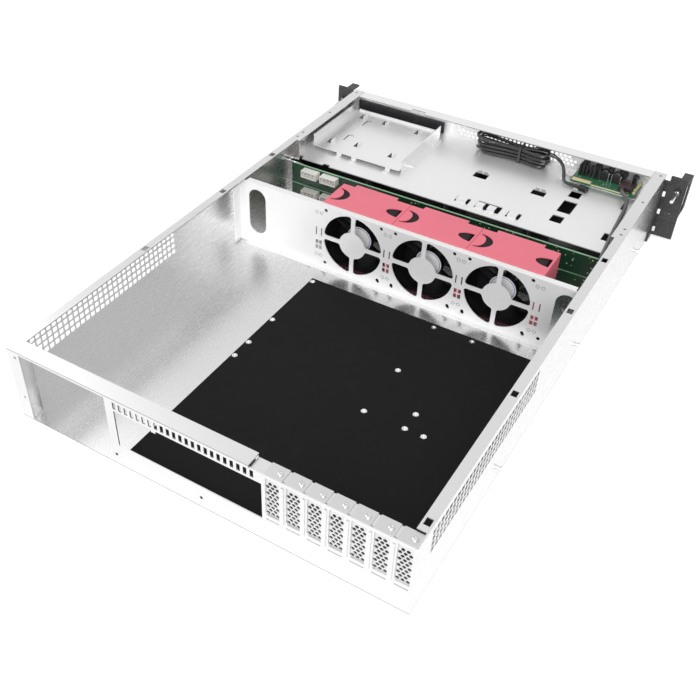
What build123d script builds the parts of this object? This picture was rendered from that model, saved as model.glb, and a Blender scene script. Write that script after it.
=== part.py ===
"""Empty 2U rackmount server case, lid off, with eight front drive bays.

Frame: +Z up, x = 0 on the centre plane, y = 0 at the face of the front panel,
z = 0 under the floor. The front looks along -Y and the rear panel is at y = case_depth.
"""

import os
from math import cos, pi, radians, tan

from build123d import *

os.makedirs("parts", exist_ok=True)

# Case shell
case_width = 430.0
case_depth = 658.0
case_height = 87.0
sheet = 1.2
lip_width = 10.0
front_lip_width = 14.0
front_lip_length = 169.0
seat_gap = 0.3

# Side perforations and lid notches
vent_hole = 5.4
vent_pitch = 7.45
vent_columns = 30
vent_rows = 4
vent_rear_margin = 30.0
vent_bottom_z = 53.4
notch_length = 8.0
notch_width = 6.0
notch_inset = 5.0
lid_notch_ys = (217.0, 320.5, 461.0)
rear_notch_inset = 26.5
lip_hole_radius = 1.6
lip_hole_inset = 5.5
lip_hole_ys = (8.6, 80.0, 147.0, 160.0)

# Slide rail studs
stud_ys = (70.0, 278.0, 486.0)
stud_z = 17.0
stud_reach = 4.0
stud_radius = 1.6
stud_head_radius = 3.0
stud_head = 1.4

# Rear panel and top bar
bar_drop = 3.4
bar_depth = 16.4
bar_front_drop = 7.0
bar_end_x = -60.0
psu_opening_x = 96.0
io_opening_right = -72.5
io_opening_width = 158.75
io_opening_height = 44.45
io_opening_z = 27.5
io_tab_x = 41.0
io_tab_width = 5.0
io_tab_height = 3.0
io_vent_width = 3.6
io_vent_height = 8.0
io_vent_z = 78.6
io_vent_count = 23
io_vent_pitch = 6.7
foot_depth = 10.0

# Expansion slots
ledge_drop = 2.2
slot_count = 7
slot_pitch = 20.32
first_slot_x = -83.0
slot_opening_width = 13.6
slot_opening_z = 35.5
slot_opening_height = 46.0
slot_cover_width = 17.6
slot_cover_sheet = 0.9
slot_cover_bottom = 33.0
slot_tab_depth = 13.5
slot_hex_radius = 2.0
slot_hex_pitch = 4.7
slot_hex_margin = 3.0
tab_hole_z = 30.6
tab_hole_width = 13.0
tab_hole_height = 1.5
rib_width = 2.4
rib_height = 0.8
screw_radius = 1.45
screw_head_radius = 2.7
screw_head = 1.5
screw_length = 4.0
screw_clearance = 0.15
slot_screw_offset = -3.4
slot_screw_inset = 7.7

# Rear left corner bracket
corner_flange = 13.8
corner_depth = 18.0
corner_inner_flange = 9.6
corner_notch = 2.0
corner_notch_z = 33.5
corner_notch_height = 5.0
corner_hole_inset = 8.4
corner_hole_zs = (28.4, 78.6)

# Fan wall
wall_rear_y = 284.0
wall_lid_gap = 1.4
wall_top_flange = 8.0
wall_flange_gap = 2.0
wall_end_flange = 12.0
wall_end_margin = 4.0
wall_foot = 6.0
fan_count = 3
fan_pitch = 89.3
fan_middle_x = -33.2
fan_z = 45.6
grille_radius = 38.0
grille_hub_radius = 16.8
grille_spoke = 5.2
grille_fillet = 3.2
finger_slot_width = 24.0
finger_slot_height = 60.0
finger_slot_z = 47.5
finger_slot_left_inset = 26.3
finger_slot_right_inset = 16.8
wall_window = 3.7
wall_window_height = 5.8
wall_window_z = 32.0
wall_window_gap = 1.1
wall_slit_width = 1.6
wall_slit_height = 11.0
wall_slit_z = 50.4
wall_slit_spacing = 7.0
fan_screw_pitch = 71.5
fan_screw_radius = 2.1

# Fans
fan_size = 80.0
fan_corner = 4.0
fan_depth = 38.0
fan_rear_y = 266.0
fan_bore_radius = 38.2
blade_count = 7
blade_tip_radius = 37.2
blade_sheet = 1.4
blade_angle = 38.0
blade_root_depth = 3.0
rotor_hub_radius = 16.5
rotor_depth = 27.0
stator_depth = 5.0
stator_arm = 3.4
stator_arm_angle = 28.0
rotor_gap = 1.0
shaft_radius = 2.5
shaft_length = 16.0
shaft_clearance = 0.06

# Fan carriers
carrier_width = 88.7
carrier_leg = 2.6
carrier_front_y = 223.6
carrier_sheet = 1.1
carrier_step = 5.5
carrier_left_step = 15.0
carrier_right_step = 19.0
carrier_rest = 1.5
fan_gap = 0.1
tongue_y = 252.8
tongue_length = 9.0
tongue_width = 23.0
tongue_gap_length = 17.5
tongue_gap_width = 28.0
finger_hole_length = 16.5
finger_hole_width = 17.0

# Front deck
deck_z = 60.0
deck_rear_y = 163.5
deck_notch = 6.0
deck_openings = (
    (-20.3, -2.5, 72.5, 85.4),
    (-96.4, -79.2, 73.7, 85.6),
    (-25.6, -8.0, 138.0, 151.2),
    (-65.0, -34.0, 135.0, 151.6),
    (-90.2, -73.5, 137.0, 151.0),
    (-134.0, -120.4, 51.4, 67.6),
    (-137.0, -120.4, 77.4, 106.4),
    (-134.8, -120.4, 115.8, 131.4),
    (-192.4, -184.6, 121.5, 138.0),
    (-186.6, -183.2, 44.5, 62.0),
    (160.4, 169.6, 159.4, deck_rear_y),
)
hook_sheet = 1.0
hook_rise = 4.0
hook_length = 8.0
deck_hooks = (
    (-23.5, -11.0, 151.2),
    (-46.0, -36.5, 151.6),
    (-60.5, -51.0, 151.6),
    (-87.5, -76.5, 151.0),
)

# Front panel
front_flange = 17.0
flange_notch_x = 111.0
flange_notch_width = 20.0
flange_notch_depth = 6.0
front_vent_radius = 2.15
front_vent_pitch = 5.69
front_vent_row = 4.7
front_vent_x = 55.2
front_vent_z = 65.7
front_vent_rows = ((0.5, 0, 28), (0.0, 0, 29), (0.5, 7, 27), (0.0, 7, 28))
port_width = 5.4
port_height = 13.2
port_z = 74.0
port_xs = (-120.0, -136.0)
port_depth = 14.0
port_wall = 0.6
lamp_x = -152.0
lamp_zs = (68.0, 73.5, 79.0)
lamp_radius = 1.6
button_z = 73.5
button_collar = 1.0
button_reach = 2.2
button_length = 6.4
button_travel = 1.5
power_x = -166.0
power_radius = 5.2
reset_x = -182.0
reset_radius = 2.35

# Drive cage, caddies and levers
bay_columns = 4
shelf_z = 29.4
cage_front_y = 4.0
cage_rear_y = 160.0
caddy_side_gap = 0.45
caddy_rest_gap = 0.25
caddy_height = 26.4
caddy_length = 146.0
caddy_bezel_depth = 9.0
caddy_face = 2.4
caddy_rim = 2.0
caddy_wall = 1.6
caddy_rail_height = 19.0
caddy_floor_margin = 15.0
caddy_vent_width = 3.6
caddy_vent_height = 3.0
caddy_vent_pitch = 5.2
caddy_vent_count = 15
caddy_vent_rise = 9.6
lever_length = 84.0
lever_height = 9.0
lever_sheet = 3.2
lever_grip = 10.0
lever_barrel_radius = 2.3
lever_pin_radius = 1.1
lever_clearance = 0.08
lever_gap = 0.3
knuckle_height = 3.2
knuckle_width = 6.4
lever_pivot_inset = 8.0

# Backplanes
board_sheet = 1.6
board_left_inset = 5.8
board_right_inset = 15.8
board_front_y = 173.3
board_zs = (2.6, 31.0)
board_height = 27.4
board_vent_radius = 3.5
bracket_width = 16.0
bracket_right_top = 46.0
drive_connector_width = 42.0
drive_connector_height = 8.0
drive_connector_depth = 8.5
drive_connector_rise = 4.0
socket_xs = (177.6, 149.8)
socket_width = 22.5
socket_depth = 10.0
socket_height = 9.2
socket_wall = 1.2
socket_drop = 2.4
socket_pin = 1.8
socket_pin_pitch = 5.08

# Optical drive tray
tray_left_x = 207.0
tray_right_x = 77.0
tray_floor_z = 64.0
tray_sheet = 1.0
tray_top_z = 75.5
tray_front_y = 14.0
tray_rear_y = 132.0
tray_corner = 7.0
tray_front_lip = 4.0
tray_foot = 7.0
tray_foot_ys = (25.0, 107.0)
tray_leg_xs = (164.0, 142.0, 93.0)
tray_slot = 1.8
tray_slot_length = 16.0
tray_slot_corners = ((176.6, 34.7), (177.4, 82.7))
tray_tab_corners = ((190.0, 20.3), (156.0, 20.3), (106.3, 20.5), (157.0, 94.5), (106.3, 95.4), (192.0, 103.0))
tray_tab_length = 13.5
tray_tab_width = 6.5
tray_tab_rise = 4.0
optical_opening_z = 61.2
optical_opening_height = 12.4
optical_margin = 1.5
blank_depth = 3.0

# Front port board and its bracket
io_board_left = -111.0
io_board_right = -191.0
io_board_front = 4.0
io_board_rear = 37.3
io_board_z = 64.0
io_bracket_sheet = 1.2
io_bracket_inset = 6.0
io_ear = 14.0
io_ear_tip = 6.0
io_pillar_inset = 5.0
io_pillar_radius = 3.0
switch_depth = 7.0
signal_socket_width = 7.0
signal_socket_top = 73.0
headers = (
    (-165.0, -144.5, 17.0, 26.0, 13.0),
    (-139.5, -134.5, 17.5, 24.0, 16.0),
    (-131.5, -117.5, 17.5, 24.0, 17.0),
    (-183.5, -177.0, 17.0, 26.0, 6.0),
    (-190.0, -185.0, 17.0, 30.0, 7.0),
    (-133.0, -112.0, 32.3, 36.8, 1.8),
)

# Rack ears, handles and thumbscrews
rack_width = 482.6
ear_sheet = 3.0
ear_bottom_z = 4.5
ear_flange_length = 18.5
ear_flange_sheet = 1.8
ear_flange_bottom_z = 1.5
ear_flange_height = 75.8
ear_notch_width = 5.8
ear_notch_depth = 7.5
ear_cut_zs = (12.0, 37.0, 61.5)
ear_cut_width = 4.5
ear_cut_height = 8.5
ear_hole_inset = 8.75
ear_low_hole_z = 37.2
ear_hole_spacing = 31.75
ear_hole_radius = 2.7
handle_bottom_z = 31.0
handle_height = 45.2
handle_reach = 36.0
handle_leg = 2.0
handle_grip = 2.0
handle_grip_depth = 10.0
handle_width = 11.0
handle_margin = 0.8
thumb_head_radius = 4.7
thumb_head = 8.0
thumb_collar_radius = 4.4
thumb_collar = 3.0
thumb_shank_radius = 2.0
thumb_shank = 29.0
thumb_clearance = 0.08

# Insulating sheet and board standoffs
film = 0.5
film_left_x = 93.0
film_front_y = 309.5
film_clearance = 0.3
standoff_radius = 3.0
standoff_height = 2.4
standoff_hole = 1.5
standoff_rows = {
    316.0: (89.0, -69.0, -114.8),
    401.0: (89.0, -69.0),
    447.4: (89.0,),
    450.0: (-114.8,),
    473.5: (89.0, -69.0, -114.8, -135.2),
}

# Cables
cord = 5.0
hank_left_x = 21.0
hank_right_x = -76.0
hank_waist_x = -38.0
hank_y = 17.0
hank_end_width = 22.0
hank_waist_width = 14.0
hank_height = 19.0
tie_width = 3.0
tie_sheet = 0.8
plug_length = 12.0
plug_width = 7.4
plug_height = 5.4
loose_plug_x = 3.0
loose_plug_y = 11.0
lead_points = [
    (-76.0, 17.0, 71.5),
    (-92.0, 17.0, 71.5),
    (-102.0, 28.5, 67.0),
    (-110.5, 41.5, 63.1),
    (-125.5, 44.5, 63.0),
]
signal_points = [
    (-173.0, 26.0, 69.0),
    (-173.0, 39.6, 69.0),
    (-183.5, 50.0, 68.0),
    (-189.0, 64.0, 65.4),
    (-192.0, 84.0, 63.2),
    (-194.5, 111.0, 62.8),
    (-196.6, 137.0, 62.9),
    (-197.6, 158.0, 63.0),
    (-197.9, 177.0, 62.6),
    (-203.0, 188.0, 54.0),
    (-204.2, 195.0, 41.5),
    (-200.0, 205.0, 30.0),
    (-193.0, 217.0, 23.0),
    (-188.0, 231.0, 21.5),
    (-186.0, 244.0, 27.5),
    (-187.5, 252.0, 39.0),
]

# Worked out from the sizes above
half_width = case_width / 2
inner_x = half_width - sheet
top_under = case_height - sheet
bar_lip_z = case_height - bar_drop
bar_front_y = case_depth - bar_depth
panel_y = case_depth - sheet
vent_rear_y = case_depth - vent_rear_margin
rear_notch_y = case_depth - rear_notch_inset
wall_height = case_height - wall_lid_gap
finger_slot_xs = (inner_x - finger_slot_left_inset, finger_slot_right_inset - inner_x)
wall_front_y = wall_rear_y - sheet
cover_front_y = panel_y - slot_cover_sheet
ledge_z = case_height - ledge_drop
slot_rail_z = ledge_z - slot_cover_sheet
slot_rail_front_y = cover_front_y - slot_tab_depth + 2 * seat_gap
slot_xs = [first_slot_x - slot_pitch * i for i in range(slot_count)]
slot_screws_xy = [(x + slot_screw_offset, case_depth - slot_screw_inset) for x in slot_xs]
fan_xs = [fan_middle_x + fan_pitch * ((fan_count - 1) / 2 - i) for i in range(fan_count)]
bay_pitch = 2 * inner_x / bay_columns
bay_xs = [-inner_x + bay_pitch * (i + 0.5) for i in range(bay_columns)]
caddy_width = bay_pitch - sheet - 2 * caddy_side_gap
caddy_zs = (sheet + caddy_rest_gap, shelf_z + sheet + caddy_rest_gap)
board_left_x = inner_x - board_left_inset
board_right_x = board_right_inset - inner_x
board_rear_y = board_front_y + board_sheet
optical_xs = (tray_right_x + optical_margin, tray_left_x - optical_margin)
io_board_top = io_board_z + board_sheet
ear_notch_z = case_height - ear_notch_depth
ear_hole_x = rack_width / 2 - ear_hole_inset
handle_outer_x = rack_width / 2 - handle_margin
handle_inner_x = handle_outer_x - handle_width


def block(xs, ys, zs, mode=Mode.ADD):
    """Add a box, given by its low and high corner values, to the part being built."""
    middle = tuple((low + high) / 2 for low, high in (xs, ys, zs))
    with Locations(middle):
        Box(xs[1] - xs[0], ys[1] - ys[0], zs[1] - zs[0], mode=mode)


def on_side(side, near, far):
    """Give the low and high x of a stretch on the left (1) or right (-1) side."""
    return tuple(sorted((side * near, side * far)))


def around(middle, width):
    """Give the low and high value of a stretch of one width about its middle."""
    return (middle - width / 2, middle + width / 2)


def save(part, label):
    """Name a finished piece and write it to its own file."""
    part.label = label
    export_step(part, f"parts/{label}.step")


# Chassis tray: floor, side walls and lid lips folded from one sheet
vent_y = vent_rear_y - vent_pitch * (vent_columns - 1) / 2
vent_z = vent_bottom_z + vent_pitch * (vent_rows - 1) / 2
with BuildPart() as chassis_tray:
    with BuildSketch(Plane.XZ):
        Rectangle(case_width, case_height, align=(Align.CENTER, Align.MIN))
        with Locations((0, sheet)):
            Rectangle(2 * inner_x, top_under - sheet, align=(Align.CENTER, Align.MIN), mode=Mode.SUBTRACT)
        with Locations((0, top_under)):
            opening = case_width - 2 * lip_width
            Rectangle(opening, sheet, align=(Align.CENTER, Align.MIN), mode=Mode.SUBTRACT)
    extrude(amount=-case_depth)
    for side in (1, -1):
        lip = on_side(side, half_width - front_lip_width, half_width - lip_width)
        block(lip, (0, front_lip_length), (top_under, case_height))
        post = on_side(side, half_width - front_lip_width, inner_x)
        block(post, (front_lip_length - sheet, front_lip_length), (deck_z, top_under))
        end = on_side(side, 0, inner_x)
        block(end, (bar_front_y, case_depth), (top_under, case_height), mode=Mode.SUBTRACT)
        notches = lid_notch_ys if side == 1 else (*lid_notch_ys, rear_notch_y)
        with Locations(*[(side * (half_width - notch_inset), y, case_height) for y in notches]):
            Box(notch_width, notch_length, 3 * sheet, mode=Mode.SUBTRACT)
        with Locations(*[(side * (half_width - lip_hole_inset), y, case_height) for y in lip_hole_ys]):
            Cylinder(lip_hole_radius, 3 * sheet, mode=Mode.SUBTRACT)
    with BuildSketch(Plane.YZ.offset(-case_width)):
        with Locations((vent_y, vent_z)):
            with GridLocations(vent_pitch, vent_pitch, vent_columns, vent_rows):
                Rectangle(vent_hole, vent_hole)
    extrude(amount=2 * case_width, mode=Mode.SUBTRACT)
save(chassis_tray.part, "chassis_tray")

# Rail studs riveted to both side walls
stud_yz = [(y, stud_z) for y in stud_ys]
with BuildPart() as rail_studs:
    for side in (1, -1):
        with BuildSketch(Plane.YZ.offset(side * half_width)):
            with Locations(*stud_yz):
                Circle(stud_radius)
        extrude(amount=side * stud_reach)
        with BuildSketch(Plane.YZ.offset(side * (half_width + stud_reach - stud_head))):
            with Locations(*stud_yz):
                Circle(stud_head_radius)
        extrude(amount=side * stud_head)
save(rail_studs.part, "rail_studs")

# Rear panel: strut, board opening, vents, slot openings, foot and slot rail
slot_end_x = bar_end_x - seat_gap
rail_start_x = slot_xs[0] + slot_cover_width / 2 + seat_gap
io_opening_top = io_opening_z + io_opening_height
with BuildPart() as rear_panel:
    block((-inner_x, psu_opening_x), (panel_y, case_depth), (sheet, bar_lip_z))
    block((-inner_x, slot_end_x), (panel_y, case_depth), (bar_lip_z, ledge_z))
    block((-inner_x, psu_opening_x), (panel_y - foot_depth, panel_y), (sheet, 2 * sheet))
    rail_zs = (slot_rail_z - sheet, slot_rail_z)
    block((-inner_x, slot_end_x), (slot_rail_front_y, cover_front_y - seat_gap), rail_zs)
    block((rail_start_x, slot_end_x), (cover_front_y - seat_gap, panel_y), rail_zs)
    for x in slot_xs[1:]:
        rib_zs = (slot_opening_z - rib_width, slot_opening_z + slot_opening_height - rib_width)
        block(around(x + slot_pitch / 2, rib_width), (case_depth, case_depth + rib_height), rib_zs)
    with BuildSketch(Plane.XZ.offset(-case_depth - sheet)):
        with Locations((io_opening_right + io_opening_width / 2, io_opening_z + io_opening_height / 2)):
            Rectangle(io_opening_width, io_opening_height)
        with Locations((io_tab_x, io_opening_top)):
            Rectangle(io_tab_width, 2 * io_tab_height, mode=Mode.SUBTRACT)
        vent_row = io_vent_pitch * (io_vent_count - 1)
        vent_left_x = io_opening_right + io_opening_width - io_vent_width / 2
        with Locations((vent_left_x - vent_row / 2, io_vent_z)):
            with GridLocations(io_vent_pitch, io_vent_pitch, io_vent_count, 1):
                Rectangle(io_vent_width, io_vent_height)
        with Locations(*[(x, slot_opening_z + slot_opening_height / 2) for x in slot_xs]):
            Rectangle(slot_opening_width, slot_opening_height)
        with Locations(*[(x, tab_hole_z) for x in slot_xs]):
            Rectangle(tab_hole_width, tab_hole_height)
    extrude(amount=2 * sheet, mode=Mode.SUBTRACT)
    with BuildSketch(Plane.XY.offset(ledge_z)):
        with Locations(*slot_screws_xy):
            Circle(screw_radius + screw_clearance)
    extrude(amount=-3 * sheet, mode=Mode.SUBTRACT)
save(rear_panel.part, "rear_panel")

# Slot covers: perforated strips, each with a folded tab under a screw
hex_row = slot_hex_pitch * cos(radians(30))
hex_rows = int((slot_opening_height - 2 * slot_hex_margin) / hex_row) + 1
with BuildPart() as slot_covers:
    for x in slot_xs:
        cover = around(x, slot_cover_width)
        block(cover, (cover_front_y, panel_y), (slot_cover_bottom, ledge_z))
        block(cover, (cover_front_y - slot_tab_depth, cover_front_y), (slot_rail_z, ledge_z))
    with BuildSketch(Plane.XZ.offset(-panel_y)):
        for x in slot_xs:
            for row in range(hex_rows):
                with Locations((x, slot_opening_z + slot_hex_margin + row * hex_row)):
                    with GridLocations(slot_hex_pitch, slot_hex_pitch, 3 - row % 2, 1):
                        RegularPolygon(slot_hex_radius, 6, rotation=30)
    extrude(amount=slot_cover_sheet, mode=Mode.SUBTRACT)
    with BuildSketch(Plane.XY.offset(ledge_z)):
        with Locations(*slot_screws_xy):
            Circle(screw_radius + screw_clearance)
    extrude(amount=-slot_cover_sheet, mode=Mode.SUBTRACT)
save(slot_covers.part, "slot_covers")

# Slot screws
with BuildPart() as slot_screws:
    with BuildSketch(Plane.XY.offset(ledge_z)):
        with Locations(*slot_screws_xy):
            Circle(screw_head_radius)
    extrude(amount=screw_head)
    with BuildSketch(Plane.XY.offset(ledge_z)):
        with Locations(*slot_screws_xy):
            Circle(screw_radius)
    extrude(amount=-screw_length)
save(slot_screws.part, "slot_screws")

# Rear top bar: inverted channel over the power supply and board openings
with BuildPart() as rear_top_bar:
    block((bar_end_x, inner_x), (bar_front_y, case_depth), (top_under, case_height))
    block((bar_end_x, inner_x), (panel_y, case_depth), (bar_lip_z, top_under))
    lip_end = inner_x - sheet - seat_gap
    block((bar_end_x, lip_end), (bar_front_y, bar_front_y + sheet), (top_under - bar_front_drop, top_under))
save(rear_top_bar.part, "rear_top_bar")

# Rear left corner bracket: two flanges on one web beside the power supply opening
corner_y = case_depth - corner_depth
corner_web_x = inner_x - sheet
with BuildPart() as rear_corner_bracket:
    block((corner_web_x, inner_x), (corner_y, case_depth), (sheet, bar_lip_z))
    block((inner_x - corner_flange, corner_web_x), (panel_y, case_depth), (sheet, bar_lip_z))
    block((inner_x - corner_flange, corner_web_x), (corner_y + sheet, panel_y), (sheet, 2 * sheet))
    flange_x = inner_x - corner_inner_flange
    block((flange_x, corner_web_x), (corner_y, corner_y + sheet), (sheet, bar_lip_z))
    notch_zs = around(corner_notch_z, corner_notch_height)
    block((flange_x, flange_x + corner_notch), (corner_y, corner_y + sheet), notch_zs, mode=Mode.SUBTRACT)
    with BuildSketch(Plane.XZ.offset(-case_depth)):
        with Locations(*[(inner_x - corner_hole_inset, z) for z in corner_hole_zs]):
            Circle(screw_radius)
    extrude(amount=sheet, mode=Mode.SUBTRACT)
save(rear_corner_bracket.part, "rear_corner_bracket")

# Fan wall: pressed plate with three grilles, finger slots and folded edges
with BuildPart() as fan_wall:
    block((-inner_x, inner_x), (wall_front_y, wall_rear_y), (sheet, wall_height))
    wall_flange_x = half_width - lip_width - wall_flange_gap
    flange_ys = (wall_rear_y - wall_top_flange, wall_front_y)
    block((-wall_flange_x, wall_flange_x), flange_ys, (wall_height - sheet, wall_height))
    block((-wall_flange_x, wall_flange_x), (wall_rear_y, wall_rear_y + wall_foot), (sheet, 2 * sheet))
    for side in (1, -1):
        end = on_side(side, inner_x - sheet, inner_x)
        end_zs = (wall_end_margin, wall_height - wall_end_margin)
        block(end, (wall_rear_y, wall_rear_y + wall_end_flange), end_zs)
    with BuildSketch(Plane.XZ.offset(-wall_rear_y)) as openings:
        with Locations(*[(x, fan_z) for x in fan_xs]):
            Circle(grille_radius)
            Circle(grille_hub_radius, mode=Mode.SUBTRACT)
            Rectangle(grille_spoke, 2 * fan_bore_radius, mode=Mode.SUBTRACT)
            Rectangle(2 * fan_bore_radius, grille_spoke, mode=Mode.SUBTRACT)
        fillet(openings.vertices(), radius=grille_fillet)
        for i in range(fan_count + 1):
            group_x = fan_xs[0] + fan_pitch * (0.5 - i)
            window_pitch = (wall_window + wall_window_gap, wall_window_height + wall_window_gap)
            with Locations((group_x, wall_window_z)):
                with GridLocations(*window_pitch, 2, 2):
                    Rectangle(wall_window, wall_window_height)
            with Locations((group_x, wall_slit_z)):
                with GridLocations(wall_slit_spacing, wall_slit_height, 2, 1):
                    Rectangle(wall_slit_width, wall_slit_height)
        with Locations(*[(x, finger_slot_z) for x in finger_slot_xs]):
            SlotOverall(finger_slot_height, finger_slot_width, rotation=90)
        with Locations(*[(x, fan_z) for x in fan_xs]):
            with GridLocations(fan_screw_pitch, fan_screw_pitch, 2, 2):
                Circle(fan_screw_radius)
    extrude(amount=sheet, mode=Mode.SUBTRACT)
save(fan_wall.part, "fan_wall")

# Fans: a frame with its stator and shaft, and the rotor that turns on the shaft
rotor_y = fan_rear_y - stator_depth - rotor_gap
blade_root = rotor_hub_radius - blade_root_depth
blade_chord = rotor_depth - 2 * rotor_gap
for index, fan_x in enumerate(fan_xs, start=1):
    fan_plane = Plane(origin=(fan_x, fan_rear_y, fan_z), x_dir=(1, 0, 0), z_dir=(0, -1, 0))
    with BuildPart() as fan_frame:
        with BuildSketch(fan_plane):
            RectangleRounded(fan_size, fan_size, fan_corner)
            Circle(fan_bore_radius, mode=Mode.SUBTRACT)
            with GridLocations(fan_screw_pitch, fan_screw_pitch, 2, 2):
                Circle(fan_screw_radius, mode=Mode.SUBTRACT)
        extrude(amount=fan_depth)
        with BuildSketch(fan_plane):
            Circle(rotor_hub_radius)
            for angle in (stator_arm_angle, stator_arm_angle + 90):
                Rectangle(2 * fan_bore_radius + stator_arm / 2, stator_arm, rotation=angle)
        extrude(amount=stator_depth)
        with BuildSketch(fan_plane.offset(stator_depth)):
            Circle(shaft_radius)
        extrude(amount=shaft_length)
    save(fan_frame.part, f"fan_frame_{index}")

    rotor_plane = Plane(origin=(fan_x, rotor_y, fan_z), x_dir=(1, 0, 0), z_dir=(0, -1, 0))
    with BuildPart() as fan_rotor:
        with BuildSketch(rotor_plane):
            Circle(rotor_hub_radius)
        extrude(amount=rotor_depth)
        with Locations(rotor_plane.offset(rotor_depth / 2)):
            with PolarLocations((blade_root + blade_tip_radius) / 2, blade_count):
                blade_length = blade_tip_radius - blade_root
                Box(blade_length, blade_sheet, blade_chord, rotation=(blade_angle, 0, 0))
        with BuildSketch(rotor_plane):
            Circle(shaft_radius + shaft_clearance)
        extrude(amount=shaft_length, mode=Mode.SUBTRACT)
        with BuildSketch(rotor_plane):
            Circle(2 * blade_tip_radius)
            Circle(blade_tip_radius, mode=Mode.SUBTRACT)
        extrude(amount=rotor_depth, mode=Mode.SUBTRACT)
    save(fan_rotor.part, f"fan_rotor_{index}")

# Fan carriers: a lift-out plate over each fan with a leg down each side
carrier_z = fan_z + fan_size / 2 + fan_gap
carrier_rear_y = wall_rear_y - wall_top_flange - seat_gap
carrier_y = (carrier_front_y + carrier_rear_y) / 2
shelf_top = fan_z - fan_size / 2 - fan_gap
for index, fan_x in enumerate(fan_xs, start=1):
    left_x = fan_x + carrier_width / 2
    right_x = fan_x - carrier_width / 2
    with BuildPart() as fan_carrier:
        with BuildSketch(Plane.XY.offset(carrier_z)):
            with Locations((fan_x, carrier_y)):
                Rectangle(carrier_width, carrier_rear_y - carrier_front_y)
            with Locations((left_x, carrier_front_y)):
                Rectangle(2 * carrier_left_step, 2 * carrier_step, mode=Mode.SUBTRACT)
            with Locations((right_x, carrier_front_y)):
                Rectangle(2 * carrier_right_step, 2 * carrier_step, mode=Mode.SUBTRACT)
            with Locations((left_x - carrier_leg, tongue_y)):
                Ellipse(tongue_gap_length, tongue_gap_width / 2, mode=Mode.SUBTRACT)
                Ellipse(tongue_length, tongue_width / 2)
            with Locations((right_x + carrier_leg, tongue_y)):
                Ellipse(finger_hole_length, finger_hole_width / 2, mode=Mode.SUBTRACT)
            with Locations((left_x + tongue_gap_width / 2, tongue_y)):
                Rectangle(tongue_gap_width, tongue_gap_width, mode=Mode.SUBTRACT)
        extrude(amount=carrier_sheet)
        leg_ys = (carrier_front_y + carrier_step, carrier_rear_y)
        for leg in ((right_x, right_x + carrier_leg), (left_x - carrier_leg, left_x)):
            block(leg, leg_ys, (carrier_rest, carrier_z + carrier_sheet))
        shelf = (right_x + carrier_leg, left_x - carrier_leg)
        block(shelf, (leg_ys[0], fan_rear_y), (shelf_top - carrier_leg / 2, shelf_top))
    save(fan_carrier.part, f"fan_carrier_{index}")

# Front deck: cover sheet over the drive cage, with openings and lid hooks
deck_zs = (deck_z - sheet, deck_z)
with BuildPart() as front_deck:
    block((-inner_x, inner_x), (sheet, deck_rear_y), deck_zs)
    for side in (1, -1):
        corner = on_side(side, half_width - front_lip_width - seat_gap, inner_x)
        block(corner, (deck_rear_y - deck_notch, deck_rear_y), deck_zs, mode=Mode.SUBTRACT)
    for x0, x1, y0, y1 in deck_openings:
        block((x0, x1), (y0, y1), deck_zs, mode=Mode.SUBTRACT)
    for x0, x1, y1 in deck_hooks:
        block((x0, x1), (y1, y1 + hook_sheet), (deck_z, deck_z + hook_rise))
        block((x0, x1), (y1 - hook_length, y1), (deck_z + hook_rise - hook_sheet, deck_z + hook_rise))
save(front_deck.part, "front_deck")

# Front panel above the deck: vents, drive opening, ports, lamps, buttons and top flange
front_flange_x = half_width - front_lip_width - seat_gap
with BuildPart() as front_panel:
    block((-inner_x, inner_x), (0, sheet), (deck_z - sheet, top_under))
    block((-front_flange_x, front_flange_x), (0, front_flange), (top_under, case_height))
    notch = around(flange_notch_x, flange_notch_width)
    notch_ys = (front_flange - flange_notch_depth, front_flange)
    block(notch, notch_ys, (top_under, case_height), mode=Mode.SUBTRACT)
    with BuildSketch(Plane.XZ):
        with Locations((sum(optical_xs) / 2, optical_opening_z + optical_opening_height / 2)):
            Rectangle(optical_xs[1] - optical_xs[0], optical_opening_height)
        for row, (shift, first, last) in enumerate(front_vent_rows):
            row_z = front_vent_z + row * front_vent_row
            xs = [front_vent_x - front_vent_pitch * (i + shift) for i in range(first, last)]
            with Locations(*[(x, row_z) for x in xs]):
                RegularPolygon(front_vent_radius, 6, rotation=30)
        with Locations(*[(x, port_z) for x in port_xs]):
            Rectangle(port_width, port_height)
        with Locations(*[(lamp_x, z) for z in lamp_zs]):
            Circle(lamp_radius)
        with Locations((power_x, button_z)):
            Circle(power_radius + seat_gap)
        with Locations((reset_x, button_z)):
            Circle(reset_radius + seat_gap)
    extrude(amount=-sheet, mode=Mode.SUBTRACT)
save(front_panel.part, "front_panel")

# Power and reset buttons, each with a collar behind the panel
collar_y = sheet + seat_gap
for label, x, radius in (("power_button", power_x, power_radius), ("reset_button", reset_x, reset_radius)):
    with BuildPart() as button:
        with BuildSketch(Plane.XZ.offset(button_reach)):
            with Locations((x, button_z)):
                Circle(radius)
        extrude(amount=-button_length)
        with BuildSketch(Plane.XZ.offset(-collar_y)):
            with Locations((x, button_z)):
                Circle(radius + button_collar)
        extrude(amount=-button_collar)
    save(button.part, label)

# Drive cage: a shelf between the two rows of bays and a divider between columns
with BuildPart() as cage_shelf:
    block((-inner_x, inner_x), (cage_front_y, cage_rear_y), (shelf_z, shelf_z + sheet))
save(cage_shelf.part, "cage_shelf")

with BuildPart() as cage_dividers:
    for i in range(1, bay_columns):
        divider = around(-inner_x + bay_pitch * i, sheet)
        for zs in ((sheet, shelf_z), (shelf_z + sheet, deck_z - sheet)):
            block(divider, (cage_front_y, cage_rear_y), zs)
save(cage_dividers.part, "cage_dividers")

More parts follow.
